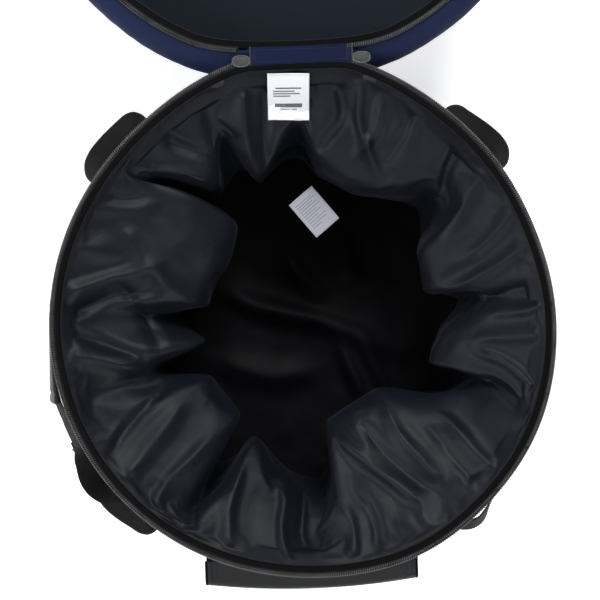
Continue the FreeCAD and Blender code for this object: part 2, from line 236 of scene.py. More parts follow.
def round_section(radius_out, radius_up, count):
    return [(radius_out * math.cos(a), radius_up * math.sin(a)) for a in circle(count)]


def ripple(p, scale, seed=0.0):
    """Smooth noise between about -1 and 1 at a point."""
    return noise.noise(Vector((p[0] * scale + seed, p[1] * scale - seed, p[2] * scale + 3.1 * seed)))


# Stitches as (pitch, length, radius)
FINE_STITCH = (0.0034, 0.0026, 0.0003)
STITCH = (0.0036, 0.0027, 0.0003)
LONG_STITCH = (0.0040, 0.0030, 0.0003)
# Along a stitch: share of its length, share of its radius, and how far it stands up, in radii
STITCH_RINGS = ((0.0, 0.25, -0.3), (0.18, 0.85, 0.35), (0.5, 1.0, 0.75), (0.82, 0.85, 0.35),
                (1.0, 0.25, -0.3))


def stitch_row(build, points, normals, pitch, length, radius):
    """Little raised stitches one after another along a line that lies on a surface."""
    points, normals = np.asarray(points, float), np.asarray(normals, float)
    run = run_along(points)
    for s in np.arange(pitch / 2, run[-1], pitch):
        a = at_run(points, run, s - length / 2)
        t = at_run(points, run, s + length / 2) - a
        n = at_run(normals, run, s)
        size = np.linalg.norm(t)
        if size < length * 0.4:
            continue
        t /= size
        n -= t * (n @ t)
        n /= np.linalg.norm(n)
        side = np.cross(t, n)
        rings = []
        for f, r, lift in STITCH_RINGS:
            c = a + t * size * f + n * radius * lift
            rings.append([c + (side * math.cos(w) + n * math.sin(w)) * radius * r for w in circle(5)])
        build.grid(rings, wrap_cols=True)


def sew(build, line, normal, size):
    """Stitches along a line whose outward direction doesn't change."""
    stitch_row(build, line, [normal] * len(line), *size)


# ---------------------------------------------------------------- materials

def nodes_of(name):
    material = bpy.data.materials.new(name)
    material.use_nodes = True
    tree = material.node_tree
    return material, tree, tree.nodes["Principled BSDF"]


def socket(value, tree, target):
    if isinstance(value, bpy.types.NodeSocket):
        tree.links.new(value, target)
    else:
        target.default_value = value


def math_node(tree, operation, a, b=0.0):
    node = tree.nodes.new("ShaderNodeMath")
    node.operation = operation
    socket(a, tree, node.inputs[0])
    socket(b, tree, node.inputs[1])
    return node.outputs[0]


def noise_node(tree, coords, scale, detail=3.0, rough=0.55, distortion=0.0):
    node = tree.nodes.new("ShaderNodeTexNoise")
    node.inputs["Scale"].default_value = scale
    node.inputs["Detail"].default_value = detail
    node.inputs["Roughness"].default_value = rough
    node.inputs["Distortion"].default_value = distortion
    tree.links.new(coords, node.inputs["Vector"])
    return node.outputs["Fac"]


def ramp_node(tree, fac, low, high, from_min=0.3, from_max=0.7):
    """Colour that runs from low to high as fac runs between two values."""
    node = tree.nodes.new("ShaderNodeValToRGB")
    node.color_ramp.elements[0].position = from_min
    node.color_ramp.elements[1].position = from_max
    node.color_ramp.elements[0].color = (*low, 1)
    node.color_ramp.elements[1].color = (*high, 1)
    tree.links.new(fac, node.inputs["Fac"])
    return node.outputs["Color"]


def range_node(tree, fac, low, high, from_min=0.3, from_max=0.7):
    node = tree.nodes.new("ShaderNodeMapRange")
    node.inputs["From Min"].default_value = from_min
    node.inputs["From Max"].default_value = from_max
    node.inputs["To Min"].default_value = low
    node.inputs["To Max"].default_value = high
    tree.links.new(fac, node.inputs["Value"])
    return node.outputs["Result"]


def weave_height(tree, pitch_u, pitch_v, ribs=False):
    """Height of a plain weave, or of ribs along the strip, over the UV map in metres."""
    uv = tree.nodes.new("ShaderNodeUVMap")
    uv.uv_map = "UVMap"
    split = tree.nodes.new("ShaderNodeSeparateXYZ")
    tree.links.new(uv.outputs["UV"], split.inputs["Vector"])
    waves = []
    for axis, pitch in ((0, pitch_u), (1, pitch_v)):
        turn = math_node(tree, "MULTIPLY", split.outputs[axis], 2 * math.pi / pitch)
        waves.append(math_node(tree, "SINE", turn))
    if ribs:
        fine = math_node(tree, "MULTIPLY", waves[0], 0.35)
        return math_node(tree, "ADD", math_node(tree, "ABSOLUTE", waves[1]), fine)
    return math_node(tree, "MULTIPLY", waves[0], waves[1])


def bump_node(tree, height, distance, strength=1.0, below=None):
    node = tree.nodes.new("ShaderNodeBump")
    node.inputs["Distance"].default_value = distance
    node.inputs["Strength"].default_value = strength
    tree.links.new(height, node.inputs["Height"])
    if below is not None:
        tree.links.new(below, node.inputs["Normal"])
    return node.outputs["Normal"]


def shade(colour, factor):
    return tuple(c * factor for c in colour)


def cloth(name, colour, rough=0.6, pitch=(0.0005, 0.0005), weave=0.00006, sheen=0.15, sheen_rough=0.4,
          tint=(1, 1, 1), spread=0.18, crumple=0.0, crumple_scale=60.0, specular=0.5, ribs=False):
    """Woven cloth: thread weave, uneven colour, rubbed roughness and, for limp cloth, fine crumpling."""
    material, tree, shader = nodes_of(name)
    coords = tree.nodes.new("ShaderNodeTexCoord").outputs["Object"]
    patches = noise_node(tree, coords, 14.0, 4.0)
    fibres = noise_node(tree, coords, 900.0, 2.0)
    mixed = math_node(tree, "ADD", math_node(tree, "MULTIPLY", patches, 0.72),
                      math_node(tree, "MULTIPLY", fibres, 0.28))
    tree.links.new(ramp_node(tree, mixed, shade(colour, 1 - spread), shade(colour, 1 + spread)),
                   shader.inputs["Base Color"])
    tree.links.new(range_node(tree, patches, rough - 0.05, rough + 0.07), shader.inputs["Roughness"])
    shader.inputs["Specular IOR Level"].default_value = specular
    shader.inputs["Sheen Weight"].default_value = sheen
    shader.inputs["Sheen Roughness"].default_value = sheen_rough
    shader.inputs["Sheen Tint"].default_value = (*tint, 1)
    normal = None
    if crumple:
        soft = noise_node(tree, coords, crumple_scale, 4.0, 0.6, 0.6)
        normal = bump_node(tree, soft, crumple)
    tree.links.new(bump_node(tree, weave_height(tree, *pitch, ribs), weave, 1.0, normal),
                   shader.inputs["Normal"])
    return material


GRAIN_SCALE = 600.0


def hard(name, colour, rough=0.35, metallic=0.0, grain=0.00003, wear=None, specular=0.5):
    """Moulded plastic or enamelled metal with a faint grain and slightly worn high spots."""
    material, tree, shader = nodes_of(name)
    coords = tree.nodes.new("ShaderNodeTexCoord").outputs["Object"]
    patches = noise_node(tree, coords, 40.0, 5.0)
    worn = wear or shade(colour, 1.5)
    tree.links.new(ramp_node(tree, patches, colour, worn, 0.45, 0.8), shader.inputs["Base Color"])
    tree.links.new(range_node(tree, patches, rough - 0.06, rough + 0.1), shader.inputs["Roughness"])
    shader.inputs["Metallic"].default_value = metallic
    shader.inputs["Specular IOR Level"].default_value = specular
    fine = noise_node(tree, coords, GRAIN_SCALE, 3.0)
    tree.links.new(bump_node(tree, fine, grain), shader.inputs["Normal"])
    return material


def foam_material(name, colour):
    """Closed-cell foam: small cells, matt."""
    material, tree, shader = nodes_of(name)
    coords = tree.nodes.new("ShaderNodeTexCoord").outputs["Object"]
    cells = tree.nodes.new("ShaderNodeTexVoronoi")
    cells.inputs["Scale"].default_value = 700.0
    tree.links.new(coords, cells.inputs["Vector"])
    distance = cells.outputs["Distance"]
    tree.links.new(ramp_node(tree, distance, shade(colour, 0.7), shade(colour, 1.2), 0.1, 0.6),
                   shader.inputs["Base Color"])
    shader.inputs["Roughness"].default_value = 0.9
    tree.links.new(bump_node(tree, distance, 0.0002), shader.inputs["Normal"])
    return material


NAVY = cloth("navy_shell", (0.0066, 0.0132, 0.0480), rough=0.58, pitch=(0.0007, 0.0007), weave=0.00007,
             sheen=0.03, tint=(0.45, 0.58, 1.0), spread=0.14, crumple=0.0004, crumple_scale=45,
             specular=0.12)
STRIP = cloth("navy_strip", (0.0040, 0.0076, 0.0300), rough=0.6, pitch=(0.0007, 0.0007), weave=0.00007,
              sheen=0.02, tint=(0.45, 0.58, 1.0), spread=0.2, crumple=0.0006, crumple_scale=70,
              specular=0.08)
BLACK = cloth("black_shell", (0.0070, 0.0088, 0.0108), rough=0.47, pitch=(0.0007, 0.0007), weave=0.00007,
              sheen=0.08, tint=(0.75, 0.9, 0.9), spread=0.15, crumple=0.0004, crumple_scale=45,
              specular=0.34)
TAPE = cloth("binding_tape", (0.0022, 0.0023, 0.0028), rough=0.62, pitch=(0.0009, 0.0007), weave=0.00012,
             sheen=0.0, spread=0.2, ribs=True, specular=0.06)
WEBBING = cloth("webbing", (0.0017, 0.0018, 0.0024), rough=0.50, pitch=(0.0016, 0.0034), weave=0.0006,
                sheen=0.01, spread=0.2, ribs=True, specular=0.06)
LINING = cloth("lining", (0.0044, 0.0057, 0.0102), rough=0.46, pitch=(0.0004, 0.0004), weave=0.00002,
               sheen=0.02, sheen_rough=0.35, tint=(0.80, 0.88, 1.0), spread=0.10, crumple=0.0009,
               crumple_scale=38, specular=0.19)
# The lining's cloth again, made much darker for the well's bottom: painted shade for the deep floor that
# little light reaches.
LINING_BOTTOM_PAINTED_SHADE = cloth("lining_bottom_painted_shade", (0.0011, 0.0012, 0.0024), rough=0.55, pitch=(0.0004, 0.0004), weave=0.00002,
             sheen=0.0, spread=0.10, crumple=0.0005, crumple_scale=30, specular=0.09)
PANEL = cloth("lid_lining", (0.0054, 0.0080, 0.0136), rough=0.6, pitch=(0.0004, 0.0004), weave=0.00003,
              sheen=0.01, spread=0.10, crumple=0.0003, crumple_scale=25, specular=0.07)
ZIP_TAPE = cloth("zip_tape", (0.0070, 0.0072, 0.0080), rough=0.7, pitch=(0.0008, 0.0005), weave=0.0001,
                 sheen=0.03, specular=0.2)
THREAD = cloth("thread", (0.015, 0.016, 0.019), rough=0.5, pitch=(0.0003, 0.0003), weave=0.00005,
               sheen=0.1)
PALE_THREAD = cloth("pale_thread", (0.22, 0.23, 0.24), rough=0.5, pitch=(0.0003, 0.0003), weave=0.00005,
                    sheen=0.3)
# The care label's white cloth, made grey: painted shade for the label lying deep down on the lining.
CARE_LABEL_PAINTED_SHADE = cloth("care_label_cloth", (0.29, 0.30, 0.34), rough=0.5, pitch=(0.0004, 0.0004), weave=0.00003,
             sheen=0.05, spread=0.04, crumple=0.0003, crumple_scale=70, specular=0.2)
LABEL = cloth("label_cloth", (0.78, 0.80, 0.84), rough=0.5, pitch=(0.0004, 0.0004), weave=0.00003,
              sheen=0.2, spread=0.03, crumple=0.0003, crumple_scale=70)
PRINT = cloth("label_print", (0.11, 0.11, 0.13), rough=0.6, pitch=(0.0004, 0.0004), weave=0.00002,
              sheen=0.1, spread=0.08)
HOOKS = cloth("hook_and_loop", (0.010, 0.010, 0.011), rough=0.8, pitch=(0.0012, 0.0012), weave=0.0004,
              sheen=0.3)
COVER = cloth("end_cover", (0.014, 0.016, 0.018), rough=0.45, pitch=(0.0009, 0.0009), weave=0.00006,
              sheen=0.2, spread=0.2)
COIL = hard("zip_coil", (0.012, 0.012, 0.014), rough=0.30, wear=(0.060, 0.062, 0.068), specular=0.9)
METAL = hard("zip_metal", (0.028, 0.028, 0.030), rough=0.28, metallic=0.6, wear=(0.10, 0.10, 0.105))
PLASTIC = hard("black_plastic", (0.005, 0.005, 0.006), rough=0.5, grain=0.00006, specular=0.15)
PIPING = cloth("piping", (0.0085, 0.0088, 0.0095), rough=0.42, pitch=(0.001, 0.001), weave=0.00005,
               sheen=0.15)
FOAM = foam_material("foam", (0.08, 0.082, 0.085))


# ---------------------------------------------------------------- the mouth's outline

def smooth_min(a, b, k):
    h = np.clip(0.5 + 0.5 * (b - a) / k, 0, 1)
    return b * (1 - h) + a * h - k * h * (1 - h)


def around(angle, middle):
    """Unsigned turn between an angle and a direction, in radians."""
    return np.abs((np.asarray(angle) - middle + math.pi) % (2 * math.pi) - math.pi)


def mouth_radius(angle, radius):
    """The mouth's outline for a line that is radius out from the middle away from the hinge."""
    phi = around(angle, math.pi / 2)
    drawn = radius + NOSE_REACH * np.exp(-(phi / NOSE_SPREAD) ** 2)
    for middle, reach, width in SLUMPS:
        drawn += reach * np.exp(-(around(angle, math.radians(middle)) / math.radians(width)) ** 2)
    flat = (NOSE_FLAT + radius - BINDING_R) / np.maximum(np.cos(phi), 0.2)
    return smooth_min(drawn, flat, NOSE_ROUND)


def lid_radius(angle, radius):
    """The lid's outline, flattened where the hinge strip pulls on it."""
    phi = around(angle, -math.pi / 2)
    flat = (LID_FLAT + radius - BINDING_R) / np.maximum(np.cos(phi), 0.2)
    return smooth_min(np.full_like(phi, radius), flat, 4 * NOSE_ROUND)


def outline(radius, z, count, lid=False, wobble=0.0, seed=0.0, span=None):
    """Points along one line of the mouth or the lid, with their outward directions."""
    angles = circle(count) if span is None else np.linspace(*span, count)
    r = (lid_radius if lid else mouth_radius)(angles, radius)
    if wobble:
        for k, a in enumerate(angles):
            r[k] += wobble * ripple((math.cos(a), math.sin(a), 0), 2.2, seed)
    y0 = LID_Y if lid else 0.0
    points = np.stack([r * np.cos(angles), y0 + r * np.sin(angles), np.full(count, z)], 1)
    outs = np.stack([np.cos(angles), np.sin(angles), np.zeros(count)], 1)
    return points, outs


UP = np.array((0.0, 0.0, 1.0))


# ---------------------------------------------------------------- zip, tape and binding

def rolled_section(radius, count=20):
    """The binding's roll: round, with the flattened lip of its sewn edge."""
    section = []
    for a in circle(count):
        squeeze = 1.0 - 0.10 * math.cos(2 * a)
        section.append((radius * squeeze * math.cos(a), radius * (2 - squeeze) * 0.98 * math.sin(a)))
    return section


def make_binding(name, lid, node, seed):
    """Ribbed tape rolled over the edge, a little uneven, with a row of stitches on its inner side."""
    count = 720
    points, outs = outline(BINDING_R, BINDING_Z, count, lid, 0.0009, seed)
    ups = np.broadcast_to(UP, points.shape)
    base = rolled_section(BINDING_SECTION)
    swell = np.array([1 + 0.05 * ripple(p, 30, seed) + 0.025 * ripple(p, 120, seed) for p in points])
    rows = [points + outs * (o * swell)[:, None] + ups * (u * swell)[:, None] for o, u in base]
    build = Build().grid(rows, wrap_rows=True, wrap_cols=True)
    binding = build.done(name, TAPE, "binding_tape")
    thread = Build()
    for side, lift in ((-1, 0.55), (1, 0.30)):
        line, _ = outline(BINDING_R + side * BINDING_SECTION * 0.93, BINDING_Z + BINDING_SECTION * lift,
                          count, lid,
                          0.0009, seed)
        normals = outs * side * 0.85 + ups * 0.5
        stitch_row(thread, np.vstack([line, line[:1]]), np.vstack([normals, normals[:1]]), 0.0034, 0.0026,
                   0.00028)
    body = "lid" if lid else "bag"
    attach(binding, body, node)
    attach(thread.done(name + "_stitches", THREAD), body)


def zip_span(lid):
    middle = -math.pi / 2 if lid else math.pi / 2
    return middle + ZIP_END, middle + 2 * math.pi - ZIP_END


TAPE_LANES = [(-0.0110, -0.0042), (-0.0087, -0.0028), (-0.0070, -0.0018), (-0.0052, -0.0014),
              (-0.0030, -0.0014),
              (-0.0006, -0.0024)]
COIL_PITCH = 0.0027
COIL_WIRE = 0.00078
POINTS_PER_TURN = 10


def make_zip(prefix, lid, tape_node, coil_node):
    """Woven tape beside the binding, and the coil's teeth, each a bent loop of monofilament."""
    span = zip_span(lid)
    body = "lid" if lid else "bag"
    top = RIM_Z - 0.0002
    build = Build()
    points, outs = outline(RIM_R, top, 640, lid, 0.0005, 4.0, span)
    rows = [points + outs * o + UP * u for o, u in TAPE_LANES]
    rows += [points + outs * o + UP * (u - 0.0008) for o, u in reversed(TAPE_LANES)]
    build.grid(rows, wrap_rows=True)
    sewn = points + outs * -0.0050 + UP * -0.0010
    stitch_row(build, sewn, np.broadcast_to(UP, points.shape), 0.0027, 0.0021, 0.00022)
    tape = build.done(prefix + "_zip_tape", ZIP_TAPE, "zip_tape")

    centre, out = outline(RIM_R - 0.0026, top - 0.0013, 4000, lid, 0.0005, 4.0, span)
    run = run_along(centre)
    turns = int(run[-1] / COIL_PITCH)
    s = np.linspace(0, turns * COIL_PITCH, turns * POINTS_PER_TURN + 1)
    c, o = at_run(centre, run, s), at_run(out, run, s)
    phase = s / COIL_PITCH * 2 * math.pi
    wave_out = np.sign(np.cos(phase)) * np.abs(np.cos(phase)) ** 0.6
    line = c + o * (0.0021 * wave_out)[:, None] + UP * (0.00085 * np.sin(phase))[:, None]
    coil_build = Build()
    add_tube(coil_build, line, round_section(COIL_WIRE, COIL_WIRE, 5))
    coil = coil_build.done(prefix + "_zip_coil", COIL, "zip_coil")
    cord_build = Build()
    add_tube(cord_build, (c + UP * -0.0002)[::5], round_section(0.0017, 0.0004, 6))
    attach(cord_build.done(prefix + "_zip_cord", ZIP_TAPE, "zip_tape"), body)
    attach(tape, body, tape_node)
    attach(coil, body, coil_node)


# ---------------------------------------------------------------- the loose lining

FLOOR_Z = 0.0136
LINING_TOP = (0.2878, 0.2940)
LINING_FOOT = (0.2610, 0.0146)

# The lining's folds: degrees round the rim, degrees round to where the same
# strip of cloth stands furthest in, and the radius and height there. Full folds reach far in
# and ride high; the valleys between them stay out near the wall.
FOLDS = [
    (2, 6, 0.226, 0.222), (11, 12, 0.164, 0.196), (26, 27, 0.172, 0.208), (41, 41.5, 0.226, 0.215),
    (54, 53, 0.197, 0.212), (68, 67, 0.180, 0.205), (81, 81, 0.192, 0.208), (90, 89, 0.242, 0.238),
    (101, 105, 0.190, 0.208), (111, 111.5, 0.246, 0.232), (121, 121, 0.200, 0.212),
    (136, 136.5, 0.246, 0.230),
    (147, 124, 0.145, 0.188), (159, 145, 0.121, 0.194), (169, 169, 0.126, 0.190), (177, 175, 0.164, 0.172),
    (186, 189, 0.132, 0.186), (197, 197.5, 0.194, 0.200), (208, 210, 0.140, 0.188), (223, 232, 0.145, 0.192),
    (235, 237.5, 0.252, 0.232), (245, 246.5, 0.165, 0.190), (256, 259, 0.192, 0.196),
    (269, 274, 0.228, 0.205),
    (282, 284, 0.134, 0.190), (297, 299, 0.126, 0.200), (312, 315, 0.132, 0.196), (325, 329, 0.196, 0.196),
    (336, 340, 0.230, 0.215), (346, 342, 0.172, 0.190), (355, 354.5, 0.181, 0.196),
]
CREASE_DEPTH = 0.8
LINING_FRAMES = 12
LINING_STIFF = 12.0
LINING_GROWTH = 0.021
LINING_HOLD = 0.05        # how firmly the simulation keeps the cloth to its laid-out folds

# Creases pressed into the cloth: rise (negative for a valley), half width, and the line as
# (degrees, radius) points.
CREASES = [
    (0.012, 0.016, (171, 0.284), (164, 0.231), (158, 0.190)),
    (-0.014, 0.014, (176, 0.280), (170, 0.231), (166, 0.190)),
    (0.011, 0.018, (186, 0.284), (190, 0.234), (201, 0.190)),
    (-0.010, 0.014, (181, 0.282), (184, 0.240), (192, 0.200)),
    (-0.009, 0.013, (212, 0.280), (208, 0.237), (203, 0.186)),
    (0.009, 0.018, (219, 0.280), (217, 0.235), (213, 0.180)),
    (-0.009, 0.013, (166, 0.231), (177, 0.200), (190, 0.181)),
    (0.008, 0.020, (150, 0.242), (160, 0.190), (169, 0.146)),
    (0.010, 0.014, (133, 0.262), (127, 0.235), (121, 0.205)),
    (-0.010, 0.013, (125, 0.275), (119, 0.240), (114, 0.225)),
    (0.012, 0.016, (103, 0.285), (105, 0.240), (106, 0.200)),
    (-0.009, 0.012, (97, 0.285), (99, 0.245), (101, 0.205)),
    (0.010, 0.013, (74, 0.290), (71, 0.247), (62, 0.205)),
    (-0.010, 0.012, (79, 0.286), (77, 0.250), (84, 0.215)),
    (0.009, 0.012, (68, 0.284), (67, 0.250), (70, 0.210)),
    (-0.008, 0.012, (61, 0.284), (60, 0.250), (62, 0.215)),
    (-0.013, 0.012, (48, 0.287), (44, 0.255), (41, 0.232)),
    (0.008, 0.022, (38, 0.284), (34, 0.240), (30, 0.190)),
    (0.011, 0.014, (2, 0.285), (1, 0.255), (1, 0.227)),
    (-0.010, 0.013, (7, 0.284), (7, 0.255), (6, 0.232)),
    (0.009, 0.016, (17, 0.284), (14, 0.240), (11, 0.190)),
    (0.011, 0.013, (342, 0.287), (346, 0.250), (349, 0.217)),
    (-0.010, 0.013, (337, 0.285), (339, 0.255), (341, 0.235)),
    (0.012, 0.016, (309, 0.255), (309, 0.190), (315, 0.138)),
    (0.010, 0.016, (301, 0.258), (290, 0.176), (284, 0.140)),
    (-0.009, 0.014, (305, 0.258), (300, 0.190), (299, 0.145)),
    (0.012, 0.012, (266, 0.286), (263, 0.262), (261, 0.195)),
    (-0.014, 0.012, (270, 0.286), (268, 0.262), (267, 0.205)),
    (0.010, 0.013, (280, 0.286), (282, 0.253), (279, 0.229)),
    (-0.009, 0.012, (286, 0.286), (288, 0.256), (286, 0.225)),
    (0.009, 0.014, (250, 0.286), (247, 0.250), (245, 0.190)),
    (-0.010, 0.012, (240, 0.284), (238, 0.262), (238, 0.252)),
    (0.010, 0.014, (229, 0.284), (228, 0.240), (229, 0.180)),
    (0.010, 0.014, (320, 0.284), (322, 0.240), (325, 0.205)),
    (-0.009, 0.013, (315, 0.284), (316, 0.245), (319, 0.200)),
    (0.008, 0.014, (355, 0.286), (354, 0.250), (352, 0.205)),
    (0.009, 0.015, (26, 0.286), (22, 0.250), (20, 0.215)),
    (-0.008, 0.014, (146, 0.284), (143, 0.255), (139, 0.245)),
]


def periodic(keys, values, at):
    """A smooth periodic curve through values at keys in degrees, without overshoot."""
    keys = np.asarray(keys, float)
    values = np.asarray(values, float)
    k = np.concatenate([keys[-3:] - 360, keys, keys[:3] + 360])
    v = np.concatenate([values[-3:], values, values[:3]])
    slope = np.diff(v) / np.diff(k)
    tangent = np.zeros_like(v)
    same = slope[1:] * slope[:-1] > 0
    tangent[1:-1][same] = 2 * slope[1:][same] * slope[:-1][same] / (slope[1:] + slope[:-1])[same]
    i = np.clip(np.searchsorted(k, at, "right") - 1, 0, len(k) - 2)
    h = k[i + 1] - k[i]
    t = (at - k[i]) / h
    return (v[i] * (1 + 2 * t) * (1 - t) ** 2 + tangent[i] * h * t * (1 - t) ** 2
            + v[i + 1] * t * t * (3 - 2 * t) + tangent[i + 1] * h * t * t * (t - 1))


def bezier(p0, p1, p2, p3, t):
    t = t[:, None]
    return p0 * (1 - t) ** 3 + 3 * p1 * t * (1 - t) ** 2 + 3 * p2 * t * t * (1 - t) + p3 * t ** 3


def line_distance(x, y, points):
    """Distance in plan from a polyline, and how far along it the nearest point is, from 0 to 1."""
    best = np.full(x.shape, 9.0)
    along = np.zeros(x.shape)
    for k, (p, q) in enumerate(zip(points, points[1:])):
        d = (q[0] - p[0], q[1] - p[1])
        t = np.clip(((x - p[0]) * d[0] + (y - p[1]) * d[1]) / (d[0] ** 2 + d[1] ** 2), 0, 1)
        gap = np.hypot(x - p[0] - t * d[0], y - p[1] - t * d[1])
        along = np.where(gap < best, (k + t) / (len(points) - 1), along)
        best = np.minimum(best, gap)
    return best, along


def press_creases(rows, rows_in):
    """Sharp ridges and valleys in the part of the cloth that is seen from above."""
    upper = rows[:rows_in + 4]
    row = np.arange(rows_in + 4)[:, None]
    fade = np.clip((rows_in + 4 - row) / 8, 0, 1) * np.clip(row / 5, 0, 1)
    x, y = upper[..., 0].copy(), upper[..., 1].copy()
    for rise, width, *line in CREASES:
        points = [(r * math.cos(math.radians(a)), r * math.sin(math.radians(a))) for a, r in line]
        curved = smooth_path([(px, py, 0) for px, py in points], 0.01)[:, :2]
        gap, along = line_distance(x, y, curved)
        profile = np.clip(1 - gap / width, 0, 1)
        profile = profile * profile * (1.6 - 0.6 * profile)
        taper = np.clip(np.minimum(along / 0.12 + 0.35, (1 - along) / 0.25 + 0.25), 0, 1)
        upper[..., 2] += CREASE_DEPTH * rise * profile * taper * fade
    return rows


def lining_rows(columns=420, rows_in=44, rows_under=40):
    """The lining before it settles: every column runs from the rim in over a fold and back to the foot."""
    rim = np.arange(columns) * 360.0 / columns
    keys = [f[0] for f in FOLDS]
    twist = periodic(keys, [f[1] - f[0] for f in FOLDS], rim)
    reach = periodic(keys, [f[2] for f in FOLDS], rim)
    height = periodic(keys, [f[3] for f in FOLDS], rim)
    t_in = np.linspace(0, 1, rows_in)
    t_under = np.linspace(0, 1, rows_under + 1)[1:]
    cloth_points = np.zeros((rows_in + rows_under, columns, 3))
    for j in range(columns):
        a = math.radians(rim[j])
        top = np.array((float(mouth_radius(a, LINING_TOP[0])), LINING_TOP[1]))
        edge = np.array((reach[j], height[j]))
        foot = np.array(LINING_FOOT)
        full = np.clip((0.245 - reach[j]) / 0.11, 0, 1)
        long_in, long_under = np.linalg.norm(edge - top), np.linalg.norm(edge - foot)
        down = np.array((0.0, -1.0))
        inner = bezier(top, top + long_in * 0.30 * np.array((-0.50 - 0.25 * full, -0.86 + 0.15 * full)),
                       edge - down * long_in * (0.22 + 0.10 * full), edge, t_in)
        under = bezier(edge, edge + down * long_under * 0.35,
                       foot + long_under * np.array((-0.34, 0.10)), foot, t_under)
        line = np.vstack([inner, under])
        pull = np.concatenate([np.sin(t_in * math.pi / 2) ** 1.3, np.cos(t_under * math.pi / 2) ** 1.2])
        angle = a + math.radians(twist[j]) * pull
        cloth_points[:, j] = np.stack([line[:, 0] * np.cos(angle), line[:, 0] * np.sin(angle), line[:, 1]], 1)
    return press_creases(cloth_points, rows_in)


def settle(obj, pins):
    """Blender's cloth on obj, then applied. pins holds a weight from 0, free, to 1, held, per vertex."""
    group = obj.vertex_groups.new(name="held")
    for k, w in enumerate(pins):
        group.add([k], float(w), "REPLACE")
    modifier = obj.modifiers.new("Cloth", "CLOTH")
    s = modifier.settings
    s.quality = 5
    s.mass = 0.12
    s.air_damping = 1.0
    s.tension_stiffness = s.compression_stiffness = LINING_STIFF
    s.shear_stiffness = LINING_STIFF * 0.4
    s.bending_stiffness = 1.0
    s.tension_damping = s.compression_damping = s.shear_damping = 5.0
    s.bending_damping = 0.5
    s.shrink_min = -LINING_GROWTH
    s.vertex_group_mass = "held"
    s.pin_stiffness = 1.0
    s.effector_weights.gravity = 0.0
    modifier.collision_settings.use_collision = False
    scene = bpy.context.scene
    scene.frame_start, scene.frame_end = 1, LINING_FRAMES
    modifier.point_cache.frame_start, modifier.point_cache.frame_end = 1, LINING_FRAMES
    for f in range(1, LINING_FRAMES + 1):
        scene.frame_set(f)
    settled = obj.evaluated_get(bpy.context.evaluated_depsgraph_get())
    co = np.zeros(len(settled.data.vertices) * 3, np.float32)
    settled.data.vertices.foreach_get("co", co)
    obj.modifiers.remove(modifier)
    obj.data.vertices.foreach_set("co", co)
    obj.data.update()
    obj.vertex_groups.remove(group)
    scene.frame_set(1)


def keep_inside(lining):
    """Pushes any of the lining that lies in the padding back to the padding's face."""
    for vertex in lining.data.vertices:
        x, y, z = vertex.co
        r, angle = math.hypot(x, y), math.atan2(y, x)
        depth = min(max((0.2945 - z) / 0.016, 0), 1)
        face = 0.2880 - 0.0150 * depth + flare(angle, z)
        if r > face:
            vertex.co.x, vertex.co.y = x * face / r, y * face / r
    lining.data.update()


def make_lining():
    rows = lining_rows()
    n, m = rows.shape[:2]
    gather = np.exp(-np.arange(n) / 5.0)
    rng = random.Random(7)
    phases = [rng.uniform(0, 6.3) for _ in range(6)]
    for j in range(m):
        a = 2 * math.pi * j / m
        pucker = sum(math.sin(a * f + p) for f, p in zip((61, 83, 97, 113, 41, 29), phases)) / 6
        rows[1:8, j] -= outward(a) * (0.0022 * (0.5 + 0.5 * pucker) * gather[1:8, None])
    for i in range(2, n - 2):
        for j in range(m):
            p = rows[i, j]
            rows[i, j] = p + np.array((ripple(p, 22, 1.0), ripple(p, 22, 5.0), ripple(p, 22, 9.0))) * 0.0035
    lining = mesh_object("liner_cloth", *pick(grid(rows, wrap_cols=True), LINING, "lining"))
    hold = np.full(n, LINING_HOLD)
    hold[:2] = 1.0
    hold[-2:] = 1.0
    settle(lining, np.repeat(hold, m))
    keep_inside(lining)
    solid(finer(lining), 0.0004, 0)
    attach(lining, "bag", "liner")
    return lining


def solid(obj, thickness, offset):
    modifier = obj.modifiers.new("Thickness", "SOLIDIFY")
    modifier.thickness = thickness
    modifier.offset = offset
    return obj


def finer(obj):
    modifier = obj.modifiers.new("Subdivision", "SUBSURF")
    modifier.levels = modifier.render_levels = 1
    return obj


def surface_grid(point, us, vs):
    """Rows of points of a surface given as a function of two numbers."""
    return np.array([[point(u, v) for u in us] for v in vs])


def outward(angle):
    return np.array((math.cos(angle), math.sin(angle), 0.0))


# ---------------------------------------------------------------- the padded wall and base

WALL_FOOT = 0.0016
WALL_TOP = 0.2946
FLARE_FROM = 0.215       # height at which the wall starts to follow the mouth's nose
SEAM_ANGLES = [math.radians(a) for a in (68, 112, 196, 344)]


def flare(angle, z):
    """How far out the wall stands at a height where it follows the mouth's outline."""
    return (float(mouth_radius(angle, WALL_R)) - WALL_R) * eased(share_of(z, FLARE_FROM, WALL_TOP))


def wall_point(angle, z, proud=0.0):
    """The outside of the padded wall, softly uneven, with drawn-in seams."""
    tuck = min(max((z - 0.2830) / 0.0105, 0), 1)
    r = WALL_R + flare(angle, z) + 0.0058 * eased(tuck)
    c, s = math.cos(angle), math.sin(angle)
    soft = 0.0007 * ripple((c, s, z * 3), 3.5, 2.0) + 0.00035 * ripple((c * 3, s * 3, z * 3), 5.0, 4.0)
    gather = 0.0004 * math.sin(angle * 150 + 2 * math.sin(angle * 7)) * (math.exp(-(z - WALL_FOOT) / 0.010)
                                                                   + math.exp((z - WALL_TOP) / 0.012))
    dip = 0.0
    for seam in SEAM_ANGLES:
        gap = abs((angle - seam + math.pi) % (2 * math.pi) - math.pi) * WALL_R
        dip += 0.0011 * math.exp(-(gap / 0.0022) ** 2)
    return outward(angle) * (r - 0.0001 + soft + gather - dip + proud) + UP * z


